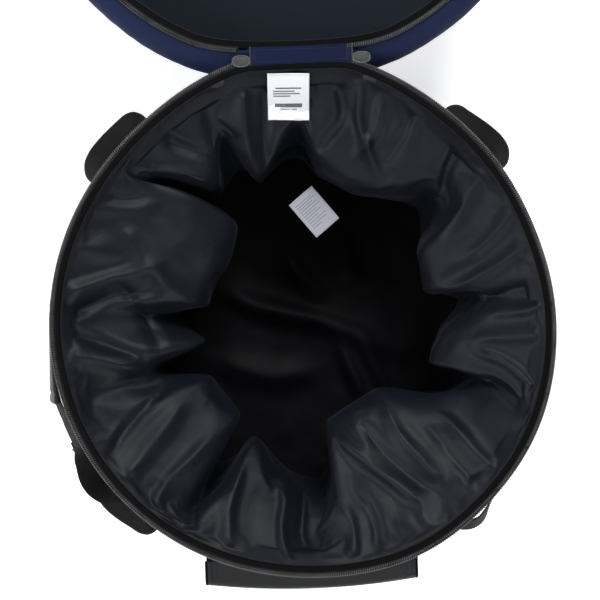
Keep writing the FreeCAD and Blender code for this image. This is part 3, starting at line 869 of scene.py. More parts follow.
def make_wall():
    angles = circle(720)
    heights = np.concatenate([np.linspace(WALL_FOOT, 0.016, 8), np.linspace(0.022, 0.272, 52),
                              np.linspace(0.276, WALL_TOP, 14)])
    rows = surface_grid(wall_point, angles, heights)
    wall = mesh_object("wall_cover", *pick(grid(rows, wrap_cols=True), NAVY, "shell_navy"))
    solid(wall, 0.0008, -1.0)
    attach(wall, "bag", "wall_fabric")
    thread = Build()
    dense = np.linspace(0, 2 * math.pi, 900)
    for z in (0.0095, 0.2835):
        line = [wall_point(a, z, 0.0002) for a in dense]
        stitch_row(thread, line, [outward(a) for a in dense], *STITCH)
    for seam in SEAM_ANGLES:
        for side in (-1, 1):
            a = seam + side * 0.0042 / WALL_R
            line = [wall_point(a, z, 0.0002) for z in np.linspace(0.012, 0.282, 90)]
            sew(thread, line, outward(a), STITCH)
    attach(thread.done("wall_stitches", THREAD), "bag")


def pick(parts, material, slot):
    """Reorders (verts, faces, uvs) into mesh_object's arguments."""
    verts, faces, uvs = parts
    return verts, faces, material, slot, uvs


def disc_rows(radius_at, z_at, middle=(0.0, 0.0), rings=40, count=240):
    """Rings of points from near the middle out to radius_at(angle), at height z_at(x, y, share)."""
    rows = []
    for share in np.linspace(0.02, 1, rings):
        ring = []
        for a in circle(count):
            r = radius_at(a) * share
            x, y = r * math.cos(a), r * math.sin(a)
            ring.append((middle[0] + x, middle[1] + y, z_at(x, y, share)))
        rows.append(ring)
    return np.array(rows)


def disc_mesh(build, rows):
    """A disc of rings, closed in the middle, with a flat map from above."""
    n, m = rows.shape[:2]
    verts = rows.reshape(-1, 3)
    faces = [(i * m + j, i * m + (j + 1) % m, (i + 1) * m + (j + 1) % m, (i + 1) * m + j)
             for i in range(n - 1) for j in range(m)]
    faces.append(tuple(range(m))[::-1])
    build.add(verts, faces, [(verts[k][0], verts[k][1]) for f in faces for k in f])
    return build


def make_base():
    """The base's fabric with its piping, seen when the bag is tipped over."""
    def under(x, y, share):
        return 0.00015 + 0.0008 * max(share - 0.985, 0) / 0.015
    base = disc_mesh(Build(), disc_rows(lambda a: WALL_R + 0.0004, under))
    base = base.done("base_cover", BLACK, "shell_black")
    solid(base, 0.0009, 1.0 if base.data.polygons[0].normal.z > 0 else -1.0)
    attach(base, "bag", "base_fabric")
    thread = Build()
    dense = np.linspace(0, 2 * math.pi, 700)
    line = [outward(a) * (WALL_R - 0.009) + UP * 0.00035 for a in dense]
    sew(thread, line, -UP, LONG_STITCH)
    attach(thread.done("base_stitches", THREAD), "bag")
    ring_with_piping("base_edge_piping", WALL_R + 0.0024, 0.0029, "bag", "base_piping", False, 3.0)


def ring_with_piping(name, radius, z, body, node, lid, seed):
    """A covered cord, slightly uneven, with the puckers of its stitches."""
    centre = np.array((0.0, LID_Y if lid else 0.0, z))
    rows = []
    for w in circle(14):
        ring = []
        for a in circle(720):
            uneven = 0.04 * ripple((math.cos(a), math.sin(a), 0), 24, seed)
            r = 0.0022 * (1 + uneven + 0.02 * math.sin(a * 420))
            ring.append(centre + outward(a) * (radius + r * math.cos(w)) + UP * r * math.sin(w))
        rows.append(ring)
    piece = Build().grid(np.array(rows), wrap_rows=True, wrap_cols=True).done(name, PIPING, "piping")
    attach(piece, body, node)


# ---------------------------------------------------------------- the lid

# The band's outside down from the mouth's plane, as in the CAD: radius and depth
BAND = [(0.2968, 0.0030), (0.3060, 0.0085), (0.3165, 0.0160), (0.3220, 0.0270), (0.3190, 0.0400),
        (0.3080, 0.0520), (0.2992, 0.0585)]
PANEL_Z = 0.2503


def band_outline(inset, count):
    """Radius and depth down the band's smooth profile, set in by some thickness."""
    line = smooth_path([(r, d, 0) for r, d in BAND], 0.0008)[:, :2]
    step = np.linspace(0, len(line) - 1, count)
    line = np.stack([np.interp(step, range(len(line)), line[:, k]) for k in range(2)], 1)
    t = np.gradient(line, axis=0)
    t /= np.linalg.norm(t, axis=1)[:, None]
    return line + np.stack([-t[:, 1], t[:, 0]], 1) * inset


def lid_pull(angle, depth):
    """How far the lid's side is drawn in above the hinge strip."""
    fade = max(1 - depth / 0.050, 0)
    return (BINDING_R - float(lid_radius(angle, BINDING_R))) * fade


def lid_point(angle, r, depth, soft=0.0):
    r = r - lid_pull(angle, depth) + soft
    return np.array((0, LID_Y, RIM_Z - depth)) + outward(angle) * r


LID_ANGLES = circle(540)
TOP_R = 0.2992


def make_lid_band():
    """The lid's bulging side, its padding and its lining."""
    outside = band_outline(0.0, 44)
    rows = []
    for r, depth in outside:
        ring = []
        middle = math.sin(min(depth / 0.058, 1) * math.pi)
        for a in LID_ANGLES:
            c, s = math.cos(a), math.sin(a)
            soft = 0.0013 * middle * ripple((c, s, depth * 6), 4.0, 1.0)
            soft += 0.0006 * ripple((c * 5, s * 5, depth * 9), 5.0, 3.0)
            pucker = 0.0005 * math.exp(-depth / 0.012) * math.sin(a * 130 + 3 * math.sin(a * 9))
            ring.append(lid_point(a, r, depth, soft + pucker))
        rows.append(ring)
    band = mesh_object("lid_band_cover", *pick(grid(np.array(rows), wrap_cols=True), NAVY, "shell_navy"))
    solid(band, 0.0008, 1.0)
    attach(band, "lid", "lid_side_band")
    float(run_along(outside)[-1])

    outer_face = [(r, d) for r, d in band_outline(0.0012, 30) if 0.006 < d < 0.0560]
    inner_face = [(r, d) for r, d in band_outline(0.0078, 30) if 0.009 < d < 0.0510][::-1]
    rows = [[lid_point(a, r, d) for a in LID_ANGLES[::2]] for r, d in outer_face + inner_face]
    padding = Build().grid(np.array(rows), wrap_rows=True, wrap_cols=True).done("lid_padding", FOAM, "foam")
    attach(padding, "lid", "lid_band_foam_upper", "lid_band_foam_lower")

    inside = [(r, d) for r, d in band_outline(0.0086, 40) if d < RIM_Z - PANEL_Z][1:]
    rows = [[lid_point(a, r, d, 0.0008 * ripple((math.cos(a), math.sin(a), d * 8), 6.0, 8.0))
             for a in LID_ANGLES] for r, d in [(BINDING_R, 0.0062)] + inside]
    inner = mesh_object("lid_side_lining", *pick(grid(np.array(rows), wrap_cols=True), PANEL, "lining"))
    solid(inner, 0.0006, 0.0)
    attach(inner, "lid", "lid_band_lining")


def make_lid_panels():
    """The lid's taut inside panel and its outer side."""
    def panel_z(x, y, share):
        edge = 0.0030 * max(share - 0.93, 0) / 0.07
        return PANEL_Z + 0.0016 * ripple((x, y, 0), 7.0, 2.0) + 0.0007 * ripple((x, y, 0), 21.0, 4.0) + edge

    def panel_r(a):
        return 0.2985 - 0.4 * (BINDING_R - float(lid_radius(a, BINDING_R)))
    panel = disc_mesh(Build(), disc_rows(panel_r, panel_z, (0, LID_Y), 60, 300))
    panel = solid(panel.done("lid_panel_cloth", PANEL, "lining"), 0.0006, 0.0)
    attach(panel, "lid", "lid_lining_panel")

    def under_z(x, y, share):
        return 0.2404 - 0.0006 * (1 - share) + 0.0004 * ripple((x, y, 0), 9.0, 6.0)
    top = disc_mesh(Build(), disc_rows(lambda a: TOP_R, under_z, (0, LID_Y), 50, 300))
    top = solid(top.done("lid_top_cover", NAVY, "shell_navy"), 0.0008, 0.0)
    attach(top, "lid", "lid_top_fabric")


def make_lid():
    make_lid_band()
    make_lid_panels()
    ring_with_piping("lid_edge_piping", 0.3016, 0.2411, "lid", "lid_piping", True, 5.0)
    thread = Build()
    dense = np.linspace(0, 2 * math.pi, 800)
    centre = np.array((0, LID_Y, 0))
    sew(thread, [centre + outward(a) * 0.2925 + UP * 0.2396 for a in dense], -UP, LONG_STITCH)
    line = [lid_point(a, 0.3020, 0.0058, 0.0003) for a in dense]
    stitch_row(thread, line, [outward(a) * 0.6 + UP * 0.8 for a in dense], *FINE_STITCH)
    attach(thread.done("lid_stitches", THREAD), "lid")


# ---------------------------------------------------------------- the hinge strip and the zip's end patches

STRIP_X = (-0.0505, 0.0700)
STRIP_Y = (0.3040, 0.3290)
COVER_X = (-0.0616, 0.0809)
COVER_SIZE = (0.0110, 0.0072)


def strip_z(x, y):
    t = (y - STRIP_Y[0]) / (STRIP_Y[1] - STRIP_Y[0])
    return 0.2972 + 0.0024 * math.sin(math.pi * t) + 0.0005 * ripple((x, y, 0), 60, 2.0)


# The zip's end patches in section, as (share of the patch's size, height)
COVER_PROFILE = [(0.96, -0.0011), (1.0, -0.0005), (1.0, 0.0002), (0.95, 0.0009), (0.86, 0.0010),
                 (0.80, 0.0004),
                 (0.70, 0.0007), (0.45, 0.0013), (0.2, 0.0015), (0.02, 0.0015)]


def cover_point(x, angle, share, lift):
    """A point of the rounded patch whose middle is at x."""
    c, s = math.cos(angle), math.sin(angle)
    stretch = (abs(c) ** 2.6 + abs(s) ** 2.6) ** (-1 / 2.6)
    return (x + COVER_SIZE[0] * share * c * stretch, 0.3112 + COVER_SIZE[1] * share * s * stretch,
            0.2990 + lift)


def make_hinge():
    xs = np.linspace(*STRIP_X, 90)
    ys = np.linspace(*STRIP_Y, 30)
    rows = [[(x, y, strip_z(x, y)) for x in xs] for y in ys]
    strip = mesh_object("hinge_cloth", *pick(grid(np.array(rows)), STRIP, "shell_navy"))
    solid(strip, 0.0011, 0.0)
    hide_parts("hinge_strip")
    thread = Build()
    for y in (0.3098, 0.3236):
        sew(thread, [(x, y, strip_z(x, y) + 0.0007) for x in xs], UP, (0.0032, 0.0024, 0.00026))
    for x in (STRIP_X[0] + 0.004, STRIP_X[1] - 0.004, STRIP_X[0] + 0.0062, STRIP_X[1] - 0.0062):
        sew(thread, [(x, y, strip_z(x, y) + 0.0007) for y in ys], UP, (0.0028, 0.0021, 0.00026))
    for x in STRIP_X:
        add_tube(thread, [(x, y, strip_z(x, y) + 0.0002) for y in ys], round_section(0.0011, 0.0009, 8))
    threads = thread.done("hinge_stitches", THREAD)
    covers, studs = Build(), Build()
    count = 48
    for x in COVER_X:
        rows = np.array([[cover_point(x, a, share, lift) for a in circle(count)] for share,
                         lift in COVER_PROFILE])
        verts, faces, _ = grid(rows, wrap_cols=True)
        faces.append(tuple(range((len(rows) - 1) * count, len(rows) * count)))
        faces.append(tuple(range(count))[::-1])
        covers.add(verts, faces, [(verts[k][0], verts[k][1]) for f in faces for k in f])
        rim = [cover_point(x, a, 0.90, 0.0010) for a in np.linspace(0, 2 * math.pi, 60)]
        sew(studs, rim, UP, (0.0024, 0.0015, 0.00034))
    patch = covers.done("zip_end_patches", COVER, "end_cover")
    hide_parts("zip_end_covers")
    for piece in (strip, threads, patch, studs.done("zip_end_stitches", PALE_THREAD)):
        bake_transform(piece)


# ---------------------------------------------------------------- webbing

WEB_THICK = 0.0024
WEB_CURL = 0.06


def webbing_strip(build, plan, width_at, tilt_at):
    """Webbing along (x, y, z) points, on edge at tilt 0 and leaning to its right at a positive tilt."""
    path = smooth_path(plan, 0.0025)
    tangent, side, up = frames_along(path)
    share = np.linspace(0, 1, len(path))
    tilt = np.radians(np.interp(share, *zip(*tilt_at)))
    width = np.interp(share, *zip(*width_at))
    across = up * np.cos(tilt)[:, None] + side * np.sin(tilt)[:, None]
    face = np.cross(tangent, across)
    rows = []
    for a, b in rounded_box(1.0, 1.0, 0.22, 3):
        bow = WEB_CURL * (1 - (2 * a) ** 2)
        proud = b * WEB_THICK + bow * width * 0.35
        rows.append(path + across * (a * width)[:, None] + face * proud[:, None])
    build.add(*capped_tube(rows))
    return path, across, face, width


HANDLES = {"back_right": 45.0, "back_left": 135.0, "front_left": 225.5, "front_right": 313.0}
HANDLE_Z = 0.199
STRAP_ROOTS = (158.0, 221.0)
# A grip as (out, along, rise) points, and how its face leans on the way: it stands open at its far end
GRIP = [(0.2880, -0.0440, 0), (0.2990, -0.0445, 0), (0.3180, -0.0450, 0.001), (0.3300, -0.0380, 0.002),
        (0.3320, -0.0240, 0.002), (0.3325, 0.0000, 0.002), (0.3320, 0.0200, 0.002), (0.3290, 0.0350, 0.002),
        (0.3210, 0.0440, 0.001), (0.3090, 0.0465, 0), (0.2990, 0.0455, 0), (0.2880, 0.0440, 0)]
LEAN = [(0, 0), (0.12, -12), (0.26, -50), (0.5, -56), (0.64, -54), (0.72, -48), (0.80, -38), (0.90, -14),
        (1, 0)]
GRIP_WIDTHS = [(0, 0.020), (0.10, 0.028), (0.22, 0.038), (0.78, 0.038), (0.90, 0.028), (1, 0.020)]
# How much nearer the wall, and how much further along, a grip's near end is
NEAR_END = {"back_right": (-0.006, 0.0), "front_left": (-0.005, -0.011)}
HANGING = [(0.2880, -0.0440, 0), (0.2990, -0.0445, 0), (0.3180, -0.0420, -0.001), (0.3330, -0.0320, -0.002),
           (0.3375, -0.0190, -0.002), (0.3335, -0.0040, -0.001), (0.3270, 0.0110, 0), (0.3225, 0.0240, 0),
           (0.3170, 0.0370, 0), (0.3030, 0.0445, 0), (0.2880, 0.0440, 0)]
HANGING_LEAN = [(0, 0), (0.12, -8), (0.26, -34), (0.40, -26), (0.6, -8), (0.88, 0), (1, 0)]


def grip_plan(name):
    """The grip's path and lean; the two on the +X side are mirror images of the others."""
    if name == "front_right":
        return [(r, along, HANDLE_Z + rise) for r, along, rise in HANGING], HANGING_LEAN
    if name == "back_left":
        return [(r, along, HANDLE_Z + rise) for r, along, rise in GRIP], LEAN
    reach, slide = NEAR_END[name]
    plan = []
    for r, along, rise in GRIP[::-1]:
        near = min(max((0.030 - along) / 0.060, 0), 1) * min(max((r - 0.290) / 0.015, 0), 1)
        plan.append((r + reach * near, -along + slide * near, HANDLE_Z + rise))
    return plan, [(1 - t, lean) for t, lean in LEAN[::-1]]


def turned(points, angle):
    c, s = math.cos(math.radians(angle)), math.sin(math.radians(angle))
    return [(x * c - y * s, x * s + y * c, z) for x, y, z in points]


def make_handles():
    for name, angle in HANDLES.items():
        plan, tilts = grip_plan(name)
        build = Build()
        path, across, face, width = webbing_strip(build, turned(plan, angle), GRIP_WIDTHS, tilts)
        handle = build.done("grab_handle_" + name, WEBBING, "webbing")
        thread = Build()
        inner = slice(len(path) // 5, -len(path) // 5)
        for edge in (-0.42, 0.42):
            for sign in (-1, 1):
                proud = sign * 0.00135 + 0.35 * WEB_CURL * (1 - (2 * edge) ** 2) * width
                line = path + across * (edge * width)[:, None] + face * proud[:, None]
                stitch_row(thread, line[inner], face[inner] * sign, *STITCH)
        stitches = thread.done("grab_handle_%s_stitches" % name, THREAD)
        attach(handle, "handle_" + name, "handle_" + name)
        attach(stitches, "handle_" + name)


# A box with a cross in it, in halves of the patch's sides
BOX_STITCH = [(-0.82, -0.86), (0.82, -0.86), (0.82, 0.86), (-0.82, 0.86), (-0.82, -0.86), (0.82, 0.86),
              (0.82, -0.86), (-0.82, 0.86)]


def wall_patch(build, thread, angle, turn, z_low, z_high):
    """A square of folded webbing sewn flat on the wall with a boxed cross of stitches."""
    half = math.radians(turn) / 2
    us = np.linspace(-1, 1, 22)
    vs = np.linspace(-1, 1, 26)
    middle, height = (z_low + z_high) / 2, (z_high - z_low) / 2

    def point(u, v, lift):
        crown = (1 - abs(u) ** 6) * (1 - abs(v) ** 6)
        a = angle + u * half
        return outward(a) * (WALL_R - 0.0004 + lift * (0.55 + 0.45 * crown)) + UP * (middle + v * height)
    build.grid(surface_grid(lambda u, v: point(u, v, 0.0022), us, vs))
    for u in (-1, 1):
        build.grid([[point(u, v, lift) for v in vs] for lift in (0.0, 0.0022)])
    for v in (-1, 1):
        build.grid([[point(u, v, lift) for u in us] for lift in (0.0, 0.0022)])
    for (u0, v0), (u1, v1) in zip(BOX_STITCH, BOX_STITCH[1:]):
        line = [point(u0 + (u1 - u0) * t, v0 + (v1 - v0) * t, 0.0023) for t in np.linspace(0, 1, 12)]
        sew(thread, line, outward(angle), (0.0030, 0.0023, 0.0003))


def make_patches():
    build, thread = Build(), Build()
    for angle in HANDLES.values():
        for side in (-1, 1):
            middle = math.radians(angle) + side * 0.042 / WALL_R
            wall_patch(build, thread, middle, 6.0, HANDLE_Z - 0.024, HANDLE_Z + 0.024)
    patches = build.done("handle_patch_webbing", WEBBING, "webbing")
    strap_build = Build()
    for angle in STRAP_ROOTS:
        wall_patch(strap_build, thread, math.radians(angle), 7.0, 0.227, 0.262)
    strap_patches = strap_build.done("strap_patch_webbing", WEBBING, "webbing")
    attach(patches, "bag", "handle_patches")
    attach(strap_patches, "bag", "strap_patches")
    attach(thread.done("patch_stitches", THREAD), "bag")


STRAP_Z = 0.242
PAD_PATH = [(-0.3044, 0.0386), (-0.3072, 0.0040), (-0.3086, -0.0440), (-0.3090, -0.0900)]
PAD_LEAN = [(0, -4), (0.4, -9), (1, -20)]


# Webbing runs as (path as x, y and height over STRAP_Z; widths; leans)
REAR_RUN = ([(-0.2800, 0.0900, 0), (-0.2925, 0.0680, 0), (-0.3035, 0.0400, 0), (-0.3055, 0.0200, 0)],
            [(0, 0.016), (0.4, 0.026), (0.6, 0.030), (1, 0.030)], [(0, 0), (0.7, -8), (1, -10)])
FRONT_RUN = ([(-0.3085, -0.0700, 0), (-0.3030, -0.0920, 0), (-0.2935, -0.1110, 0), (-0.2850, -0.1310, 0),
              (-0.2765, -0.1500, 0), (-0.2700, -0.1680, -0.002), (-0.2650, -0.1850, -0.004),
              (-0.2540, -0.1985, -0.005), (-0.2400, -0.2040, -0.004), (-0.2270, -0.1980, -0.002)],
             [(0, 0.030), (0.20, 0.032), (0.45, 0.034), (0.60, 0.038), (0.82, 0.036), (0.93, 0.024),
              (1, 0.014)],
             [(0, -26), (0.13, -24), (0.26, -34), (0.42, -34), (0.52, -62), (0.72, -76), (0.86, -60), (1, 0)])
TAIL_RUN = ([(-0.2830, -0.1480, -0.004), (-0.2760, -0.1540, -0.010), (-0.2700, -0.1500, -0.016),
             (-0.2660, -0.1400, -0.022)], [(0, 0.028), (1, 0.028)], [(0, -30), (0.5, -35), (1, -45)])
PAD_TALL = 0.044
PAD_THICK = 0.0088
PAD_SEAM = 0.10           # share of the pad's length from each end to its cross seam


def strap_root(degrees):
    return tuple(outward(math.radians(degrees)) * 0.2885 + UP * STRAP_Z)


def strap_path(run):
    return [(x, y, STRAP_Z + rise) for x, y, rise in run]


def make_strap_webbing():
    """The strap's rear and front runs, from the wall's patches to the pad."""
    build = Build()
    path, widths, leans = REAR_RUN
    webbing_strip(build, [strap_root(STRAP_ROOTS[0])] + strap_path(path), widths, leans)
    rear = build.done("strap_rear", WEBBING, "webbing")
    build = Build()
    path, widths, leans = FRONT_RUN
    webbing_strip(build, strap_path(path) + [strap_root(STRAP_ROOTS[1])], widths, leans)
    path, widths, leans = TAIL_RUN
    webbing_strip(build, strap_path(path), widths, leans)
    front = build.done("strap_front", WEBBING, "webbing")
    attach(rear, "carry_strap", "strap_webbing_rear")
    attach(front, "carry_strap", "strap_webbing_front")


def make_strap_pad():
    """The soft shoulder pad and its stitches."""
    path = smooth_path([(x, y, STRAP_Z) for x, y in PAD_PATH], 0.002)
    _, side, up = frames_along(path)
    share = np.linspace(0, 1, len(path))
    from_end = np.minimum(share, 1 - share)
    lean = np.radians(np.interp(share, *zip(*PAD_LEAN)))[:, None]
    up, side = up * np.cos(lean) + side * np.sin(lean), side * np.cos(lean) - up * np.sin(lean)
    end = np.clip(from_end / 0.03, 0, 1) ** 0.5
    seam = 1 - 0.45 * np.exp(-((from_end - PAD_SEAM) / 0.014) ** 2)
    tall = PAD_TALL * (0.97 + 0.03 * end)
    rows = []
    for s_up, s_out in rounded_box(1.0, 1.0, 0.30, 5):
        quilt = 1 - 0.12 * np.exp(-(abs(2 * s_up) - 0.78) ** 2 / 0.006)
        thick = PAD_THICK * (0.35 + 0.65 * end) * seam * quilt
        rows.append(path + up * (s_up * tall)[:, None] + side * (s_out * thick)[:, None])
    pad = finer(mesh_object("strap_shoulder_pad", *pick(capped_tube(rows), BLACK, "shell_black")))
    thread = Build()
    for sign in (-1, 1):
        for edge in (-0.39, 0.39):
            line = path + up * PAD_TALL * edge + side * sign * 0.0044
            stitch_row(thread, line[4:-4], side[4:-4] * sign, *FINE_STITCH)
        for j in (int(len(path) * PAD_SEAM), int(len(path) * (1 - PAD_SEAM))):
            line = [path[j] + up[j] * h + side[j] * sign * 0.0029 for h in np.linspace(-0.019, 0.019, 16)]
            sew(thread, line, side[j] * sign, (0.0032, 0.0024, 0.0003))
    attach(pad, "carry_strap", "strap_pad")
    attach(thread.done("strap_stitches", THREAD), "carry_strap")


def make_strap_buckle():
    """A plain slide buckle: three bars across the webbing between two long ones."""
    buckle = Build()
    along = np.array((0.40, -0.917, 0))
    centre = np.array((-0.2762, -0.1462, STRAP_Z - 0.004))
    lean_up = np.array((0.62, 0.17, 0.766))
    lean_up /= np.linalg.norm(lean_up)
    lean_up -= along * (lean_up @ along)
    lean_up /= np.linalg.norm(lean_up)
    across = np.cross(along, lean_up)
    for s in (-0.0108, 0.0, 0.0108):
        line = [centre + along * s + lean_up * h for h in np.linspace(-0.0185, 0.0185, 9)]
        buckle.add(*sweep(line, [across] * 9, [along] * 9,
                          rounded_box(0.0046, 0.0042 if s else 0.0034, 0.0014)))
    for h in (-0.0192, 0.0192):
        line = [centre + lean_up * h + along * s for s in np.linspace(-0.0128, 0.0128, 9)]
        buckle.add(*sweep(line, [across] * 9, [lean_up] * 9, rounded_box(0.0058, 0.0036, 0.0015)))
    attach(finer(buckle.done("strap_slide_buckle", PLASTIC, "board")), "carry_strap", "strap_adjuster")


def make_strap():
    make_strap_webbing()
    make_strap_pad()
    make_strap_buckle()


# ---------------------------------------------------------------- the front pocket

POCKET_HALF = 0.131
POCKET_LOW = 0.062
POCKET_HIGH = 0.216
POCKET_REACH = 0.332
POCKET_CURVE = 0.930
FLAP_HINGE = -0.296


def front_y(x, proud=0.0):
    """The pocket's bowed front in plan."""
    return POCKET_CURVE - POCKET_REACH - math.sqrt((POCKET_CURVE + proud) ** 2 - x * x)


def wall_y(x):
    return -math.sqrt((WALL_R - 0.0005) ** 2 - x * x)


POCKET_TOP = POCKET_HIGH - 0.005
POCKET_X = np.linspace(-POCKET_HALF, POCKET_HALF, 90)


def pocket_front(x, z):
    u, v = x / POCKET_HALF, (z - POCKET_LOW) / (POCKET_TOP - POCKET_LOW)
    belly = (1 - abs(u) ** 3) * math.sin(math.pi * min(max(v, 0), 1) ** 0.8)
    return (x, front_y(x) - 0.0020 * belly - 0.0010 * ripple((x, 0, z), 18.0, 1.0) * belly, z)


def pocket_side(x, z, k, y):
    """The k-th of 16 points from the front to the wall; the side is drawn in between its edges."""
    slack = 0.0022 * math.sin(math.pi * k / 15) * math.sin(math.pi * (z - POCKET_LOW) / 0.153)
    return (x - math.copysign(1, x) * slack, y, z)


def make_pocket_cloth():
    build = Build()
    build.grid(surface_grid(pocket_front, POCKET_X, np.linspace(POCKET_LOW, POCKET_TOP, 50)))
    for x in (-POCKET_HALF, POCKET_HALF):
        ys = np.linspace(front_y(x), wall_y(x), 16)
        build.grid([[pocket_side(x, z, k, y) for k, y in enumerate(ys)]
                    for z in np.linspace(POCKET_LOW, POCKET_HIGH, 40)])
    build.grid([[(x, front_y(x) + (wall_y(x) - front_y(x)) * t, POCKET_LOW) for x in POCKET_X]
                for t in np.linspace(0, 1, 12)])
    build.grid([[(x, FLAP_HINGE + (wall_y(x) - FLAP_HINGE) * t, POCKET_HIGH - 0.0006) for x in POCKET_X]
                for t in np.linspace(0, 1, 5)])
    pocket = solid(build.done("pocket_body", BLACK, "shell_black"), 0.0010, 0.0)
    attach(pocket, "bag", "pocket_front", "pocket_sides", "pocket_bottom", "pocket_top")


def make_pocket():
    make_pocket_cloth()
    trims, thread = Build(), Build()
    piping = round_section(0.0021, 0.0021, 10)
    for x in (-POCKET_HALF, POCKET_HALF):
        heights = (POCKET_LOW + 0.001, 0.14, POCKET_TOP)
        add_tube(trims, smooth_path([(x, front_y(x), z) for z in heights], 0.003), piping, (0, 1, 0))
    add_tube(trims, [(x, front_y(x), POCKET_LOW + 0.0005) for x in POCKET_X], piping)
    add_tube(trims, [(x, front_y(x) + 0.0002, POCKET_TOP) for x in POCKET_X],
             rounded_box(0.0032, 0.0090, 0.0014))
    for z in (POCKET_LOW + 0.006, POCKET_TOP - 0.0068):
        line = [np.array(pocket_front(x, z)) + (0, -0.0009, 0) for x in POCKET_X[2:-2]]
        sew(thread, line, (0, -1, 0), FINE_STITCH)
    attach(trims.done("pocket_piping", TAPE, "binding_tape"), "bag")
    attach(thread.done("pocket_stitches", THREAD), "bag")
    make_flap()


FLAP_DROP = 0.068
FLAP_TOP = 0.2178


FLAP_PROUD = 0.0036       # how far the flap stands out from the pocket's front
FLAP_CORNER = 0.0065


def flap_point(x, s):
    """s runs 0 to 1 over the top, 1 to 2 round the corner and 2 to 3 down the front."""
    u = x / POCKET_HALF
    y_out = front_y(x, FLAP_PROUD) - 0.0006 * ripple((x, 0, s), 16.0, 3.0)
    if s <= 1:
        sag = 0.0016 * (1 - u ** 2) * ripple((x, s * 0.02, 0), 12.0, 7.0)
        y = FLAP_HINGE + (y_out + FLAP_CORNER - FLAP_HINGE) * s
        return np.array((x, y, FLAP_TOP + sag * math.sin(math.pi * s)))
    if s <= 2:
        w = (s - 1) * math.pi / 2
        y = y_out + FLAP_CORNER - FLAP_CORNER * math.sin(w)
        return np.array((x, y, FLAP_TOP - FLAP_CORNER + FLAP_CORNER * math.cos(w)))
    drop = (s - 2) * (FLAP_DROP - FLAP_CORNER)
    kick = 0.0012 * (s - 2) ** 2 * ripple((x, 0, 0), 14.0, 5.0)
    return np.array((x, y_out - 0.0008 * math.sin(math.pi * (s - 2)) + kick, FLAP_TOP - FLAP_CORNER - drop))


def make_flap():
    xs = np.linspace(-POCKET_HALF - 0.0008, POCKET_HALF + 0.0008, 110)
    steps = np.concatenate([np.linspace(0, 1, 16), np.linspace(1.15, 2, 7), np.linspace(2.06, 3, 22)])
    rows = np.array([[flap_point(x, s) for x in xs] for s in steps])
    flap = solid(mesh_object("pocket_flap_cloth", *pick(grid(rows), BLACK, "shell_black")), 0.0013, 0.0)
    trims, thread = Build(), Build()
    add_tube(trims, [flap_point(x, 3.0) for x in xs], rounded_box(0.0026, 0.0080, 0.0011))
    for x in (xs[0], xs[-1]):
        add_tube(trims, [flap_point(x, s) for s in steps], rounded_box(0.0022, 0.0032, 0.0010), (1, 0, 0))
    over = np.array((0, -0.0009, 0.0009))
    for x in (-POCKET_HALF + 0.012, POCKET_HALF - 0.012, -POCKET_HALF + 0.0055, POCKET_HALF - 0.0055):
        sew(thread, [flap_point(x, s) + over for s in steps], over, FINE_STITCH)
    for s, ends in ((0.10, 4), (2.93, 4), (2.42, 12), (2.82, 12)):
        sew(thread, [flap_point(x, s) + over for x in xs[ends:-ends]], over, FINE_STITCH)
    attach(flap, "flap", "pocket_flap")
    attach(trims.done("pocket_flap_binding", TAPE, "binding_tape"), "flap")
    attach(thread.done("pocket_flap_stitches", THREAD), "flap")


# ---------------------------------------------------------------- sliders and their pulls

SLIDER_ANGLE = 17.5
PIVOT_R = 0.3051
PIVOT_Z = 0.2945


SLIDER_R = 0.3025
# A pull's blade from its ring down, as (height under the pivot, half width, half thickness)
BLADE = ((-0.0088, 0.0022, 0.0009), (-0.0105, 0.0034, 0.0010), (-0.0160, 0.0037, 0.0008),
         (-0.0215, 0.0040, 0.0009), (-0.0245, 0.0038, 0.0010), (-0.0264, 0.0024, 0.0008))


def slider_body():
    """The slider's waisted block with the little bridge that holds its pull."""
    body = Build()
    rim = []
    for a in circle(28):
        c, s = math.cos(a), math.sin(a)
        stretch = (abs(c) ** 3 + abs(s) ** 3) ** (-1 / 3)
        waist = 1 - 0.16 * math.cos(2 * a) * (1 if c > 0 else 0.4)
        rim.append((SLIDER_R + 0.0066 * c * stretch * waist, 0.0090 * s * stretch))
    rows = []
    for z, f in ((0.2948, 0.92), (0.2952, 1.0), (0.2962, 1.0), (0.2966, 0.92)):
        rows.append([(SLIDER_R + (x - SLIDER_R) * f, y * f, z) for x, y in rim])
    body.add(*capped_stack(rows))
    bridge = [(PIVOT_R, 0.0045 * math.cos(w), 0.2950 - 0.0036 * math.sin(w))
              for w in np.linspace(0, math.pi, 15)]
    add_tube(body, bridge, round_section(0.0013, 0.0009, 10), (1, 0, 0))
    return body


def slider_pull():
    """A small ring with a blade hanging from it."""
    tag = Build()
    ring = [(PIVOT_R, 0.0036 * math.cos(w), PIVOT_Z - 0.0046 - 0.0046 * math.sin(w)) for w in circle(28)]
    add_tube(tag, ring, round_section(0.0008, 0.0008, 8), (1, 0, 0), closed=True)
    section = rounded_box(1.6, 2.0, 0.35, 3)
    tag.add(*capped_stack([[(PIVOT_R + o * thick, h * half, PIVOT_Z + z) for o, h in section]
                           for z, half, thick in BLADE]))
    return tag


def make_sliders():
    for side, angle in (("left", 90 + SLIDER_ANGLE), ("right", 90 - SLIDER_ANGLE)):
        for part, kind, body, node in ((slider_body(), "slider_body_", "slider_", "zip_slider_"),
                                       (slider_pull(), "slider_pull_", "pull_", "zip_pull_")):
            placed = Build().add(turned(part.verts, angle), part.faces, part.uvs)
            attach(finer(placed.done(kind + side, METAL, "zip_metal")), body + side, node + side)


# ---------------------------------------------------------------- labels

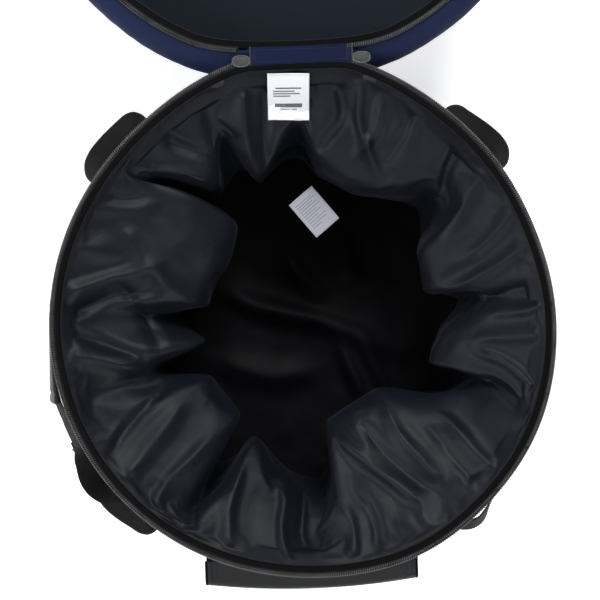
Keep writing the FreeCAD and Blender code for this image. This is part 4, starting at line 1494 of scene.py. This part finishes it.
def label_mesh(name, node, middle, width, length, turn, place, bars, material):
    """A cloth label, length long in plan and cut long along its slope, with plain bars instead of print."""
    c, s = math.cos(math.radians(turn)), math.sin(math.radians(turn))

    def point(u, v, lift=0.0):
        x, y = u * width / 2, v * length / 2
        px, py = middle[0] + x * c - y * s, middle[1] + x * s + y * c
        return np.array((px, py, place(px, py, u, v) + lift))
    us, vs = np.linspace(-1, 1, 40), np.linspace(-1, 1, 44)
    label = mesh_object(name, *pick(grid(surface_grid(lambda u, v: point(u, v), us, vs)), material, "label"))
    solid(label, 0.0004, 0.0)
    thread = Build()
    sew(thread, [point(u, 0.93, 0.0004) for u in np.linspace(-0.95, 0.95, 30)], UP, (0.0028, 0.0021, 0.00022))
    stitches = thread.done(name + "_stitches", PALE_THREAD)
    print_build = Build()
    for u0, u1, v0, v1 in bars:
        cells = surface_grid(lambda u, v: point(u, v, 0.00032), np.linspace(u0, u1, 16),
                             np.linspace(v0, v1, 3))
        print_build.grid(cells)
    printing = print_build.done(name + "_print", PRINT, "label")
    attach(label, "bag", node)
    attach(stitches, "bag")
    attach(printing, "bag")


# Plain bars on the labels, as (u from, u to, v from, v to) in halves of the label's sides
MAKER_BARS = [(-0.62, 0.62, 0.34, 0.40), (-0.74, 0.30, 0.22, 0.27), (-0.74, 0.55, 0.12, 0.17),
              (-0.74, 0.10, 0.02, 0.07), (-0.66, 0.66, -0.42, -0.26), (-0.40, 0.40, -0.52, -0.48)]
CARE_ROWS = ((0.70, 0.9), (0.58, 1.0), (0.46, 0.8), (0.34, 0.95), (0.20, 1.0), (0.08, 0.7), (-0.04, 0.9),
             (-0.18, 0.6), (-0.32, 0.95), (-0.46, 0.85), (-0.60, 0.5))
CARE_BARS = [(-0.78, -0.78 + 1.5 * share, v, v + 0.028) for v, share in CARE_ROWS]


def make_labels(lining):
    tree = BVHTree.FromObject(lining, bpy.context.evaluated_depsgraph_get())

    def lining_height(x, y, default):
        hit = tree.ray_cast(Vector((x, y, 0.35)), Vector((0, 0, -1)))
        return hit[0].z if hit[0] is not None else default

    def maker_place(x, y, u, v):
        share = (1 - v) / 2
        slope = 0.2935 - 0.046 * share + 0.004 * math.sin(math.pi * share)
        return max(slope, lining_height(x, y, 0.2) + 0.0012) + 0.0006 * math.sin(3 * u + v)

    def care_place(x, y, u, v):
        return 0.1930 - 0.0045 * (1 - v) + 0.0016 * math.sin(2.2 * u + 1.4 * v) - 0.0012 * u
    label_mesh("maker_label_cloth", "maker_label", (-0.0072, 0.2712), 0.050, 0.0500, -2.0,
               maker_place, MAKER_BARS, LABEL)
    label_mesh("care_label_cloth", "care_label", (0.0200, 0.1390), 0.0385, 0.0540, 39.0,
               care_place, CARE_BARS, CARE_LABEL_PAINTED_SHADE)


# ---------------------------------------------------------------- the lining's bottom

# Folds of the bottom cloth, as (rise, half width, then the points it runs through)
RIDGES = [
    (0.013, 0.016, (-0.115, 0.045), (-0.060, 0.018), (0.020, -0.002), (0.138, -0.050)),
    (0.010, 0.014, (-0.020, 0.095), (-0.008, 0.070), (0.034, 0.024)),
    (0.009, 0.012, (0.052, -0.030), (0.064, -0.070), (0.088, -0.125)),
    (0.008, 0.012, (0.080, -0.020), (0.095, -0.060), (0.120, -0.110)),
    (0.008, 0.018, (-0.120, -0.060), (-0.050, -0.080), (0.020, -0.075)),
    (0.007, 0.015, (0.060, 0.110), (0.070, 0.060), (0.110, 0.030)),
    (-0.004, 0.020, (-0.080, 0.100), (-0.060, 0.060), (-0.020, 0.040)),
]


def make_lining_floor():
    def lining_z(x, y, share):
        z = FLOOR_Z + 0.0008 + 0.0035 * (0.5 + 0.5 * ripple((x, y, 0), 10.0, 3.0))
        z += 0.0012 * ripple((x, y, 0), 34.0, 6.0)
        for rise, width, *points in RIDGES:
            gap, along = line_distance(np.array([x]), np.array([y]), points)
            taper = math.sin(math.pi * min(max(0.08 + along[0] * 0.84, 0), 1))
            z += rise * (math.exp(-(gap[0] / width) ** 2) * taper)
        edge = min((1 - share) / 0.08, 1)
        return FLOOR_Z + 0.0006 + (z - FLOOR_Z) * edge
    rows = disc_rows(lambda a: LINING_FOOT[0] + 0.003, lining_z, rings=70, count=260)
    floor = disc_mesh(Build(), rows).done("liner_bottom", LINING_BOTTOM_PAINTED_SHADE, "lining")
    solid(floor, 0.0004, 0.0)
    attach(floor, "bag", "liner_floor")


def make_wall_foam():
    """The wall's padding, thinner at its top edge where the lining turns over it."""
    profile = [(0.2814, 0.0126), (0.2816, 0.060), (0.2816, 0.212), (0.2816, 0.230), (0.2816, 0.247),
               (0.2812, 0.2640), (0.2800, 0.2680), (0.2788, 0.2640),
               (0.2755, 0.2470), (0.2745, 0.2300), (0.2742, 0.2120), (0.2740, 0.060), (0.2742, 0.0126)]
    rows = []
    for r, z in profile:
        ring = []
        for a in circle(360):
            soft = 0.0002 * ripple((math.cos(a) * 9, math.sin(a) * 9, z * 40), 4, 1.0)
            ring.append(outward(a) * (r + flare(a, z) + soft) + UP * z)
        rows.append(ring)
    foam = Build().grid(np.array(rows), wrap_rows=True, wrap_cols=True).done("wall_padding", FOAM, "foam")
    attach(foam, "bag", "wall_foam")


CAD_MATERIALS = {"base_foam": FOAM, "lid_top_foam": FOAM, "base_board": PLASTIC, "flap_hook_tape": HOOKS,
                 "pocket_loop_tape": HOOKS}


def dress_cad_nodes():
    """Foams, boards and hidden tapes keep their CAD shape and get their own materials."""
    for node, material in CAD_MATERIALS.items():
        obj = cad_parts[node]
        obj.data.materials.clear()
        obj.data.materials.append(material)


# ---------------------------------------------------------------- the studio

def make_floor():
    material, tree, shader = nodes_of("studio_floor")
    coords = tree.nodes.new("ShaderNodeTexCoord").outputs["Object"]
    tree.links.new(ramp_node(tree, noise_node(tree, coords, 3.0), (0.93, 0.93, 0.93), (0.95, 0.95, 0.95)),
                   shader.inputs["Base Color"])
    shader.inputs["Roughness"].default_value = 0.9
    shader.inputs["Emission Color"].default_value = (1, 1, 1, 1)
    shader.inputs["Emission Strength"].default_value = 0.55
    half = 30.0
    corners = [(-half, -half, 0), (half, -half, 0), (half, half, 0), (-half, half, 0)]
    floor = mesh_object("studio_floor", corners, [(0, 1, 2, 3)], material)


def soft_light(name, place, aim, size, power):
    data = bpy.data.lights.new(name, "AREA")
    data.shape = "SQUARE"
    data.size = size
    data.energy = power
    light = bpy.data.objects.new(name, data)
    bpy.context.scene.collection.objects.link(light)
    light.location = place
    light.rotation_mode = "QUATERNION"
    light.rotation_quaternion = (Vector(aim) - Vector(place)).to_track_quat("-Z", "Y")


def make_studio():
    make_floor()
    soft_light("back_key", (0.5, 1.9, 2.4), (0, 0.1, 0.1), 1.3, 88)
    soft_light("left_fill", (-2.4, -0.6, 1.9), (0, 0, 0.1), 1.2, 54)
    soft_light("front_fill", (0.9, -2.5, 1.7), (0, 0, 0.1), 1.2, 40)
    world = bpy.data.worlds.new("studio")
    world.use_nodes = True
    world.node_tree.nodes["Background"].inputs["Color"].default_value = (1, 1, 1, 1)
    world.node_tree.nodes["Background"].inputs["Strength"].default_value = 0.26
    bpy.context.scene.world = world
    bpy.context.scene.view_settings.view_transform = "Standard"


def make_camera():
    """Straight above the mouth, with the bag turned a little, as it lies."""
    data = bpy.data.cameras.new("camera")
    data.sensor_width = 36.0
    data.lens = 68.6
    camera = bpy.data.objects.new("camera", data)
    bpy.context.scene.collection.objects.link(camera)
    right = Vector((0.99933, -0.0366, 0))
    up = Vector((0.0366, 0.99933, 0))
    turn = Matrix((right, up, Vector((0, 0, 1)))).transposed()
    camera.matrix_world = Matrix.Translation((-0.0022, 0.0269, RIM_Z + 1.35)) @ turn.to_4x4()
    bpy.context.scene.camera = camera


make_binding("mouth_binding", False, "rim_binding", 2.0)
make_binding("lid_mouth_binding", True, "lid_binding", 6.0)
make_zip("mouth", False, "bag_zip_tape", "bag_zip_coil")
make_zip("lid_mouth", True, "lid_zip_tape", "lid_zip_coil")
lining = make_lining()
make_lining_floor()
make_wall()
make_wall_foam()
make_base()
make_lid()
make_hinge()
make_handles()
make_patches()
make_strap()
make_pocket()
make_sliders()
make_labels(lining)
dress_cad_nodes()
make_studio()
make_camera()
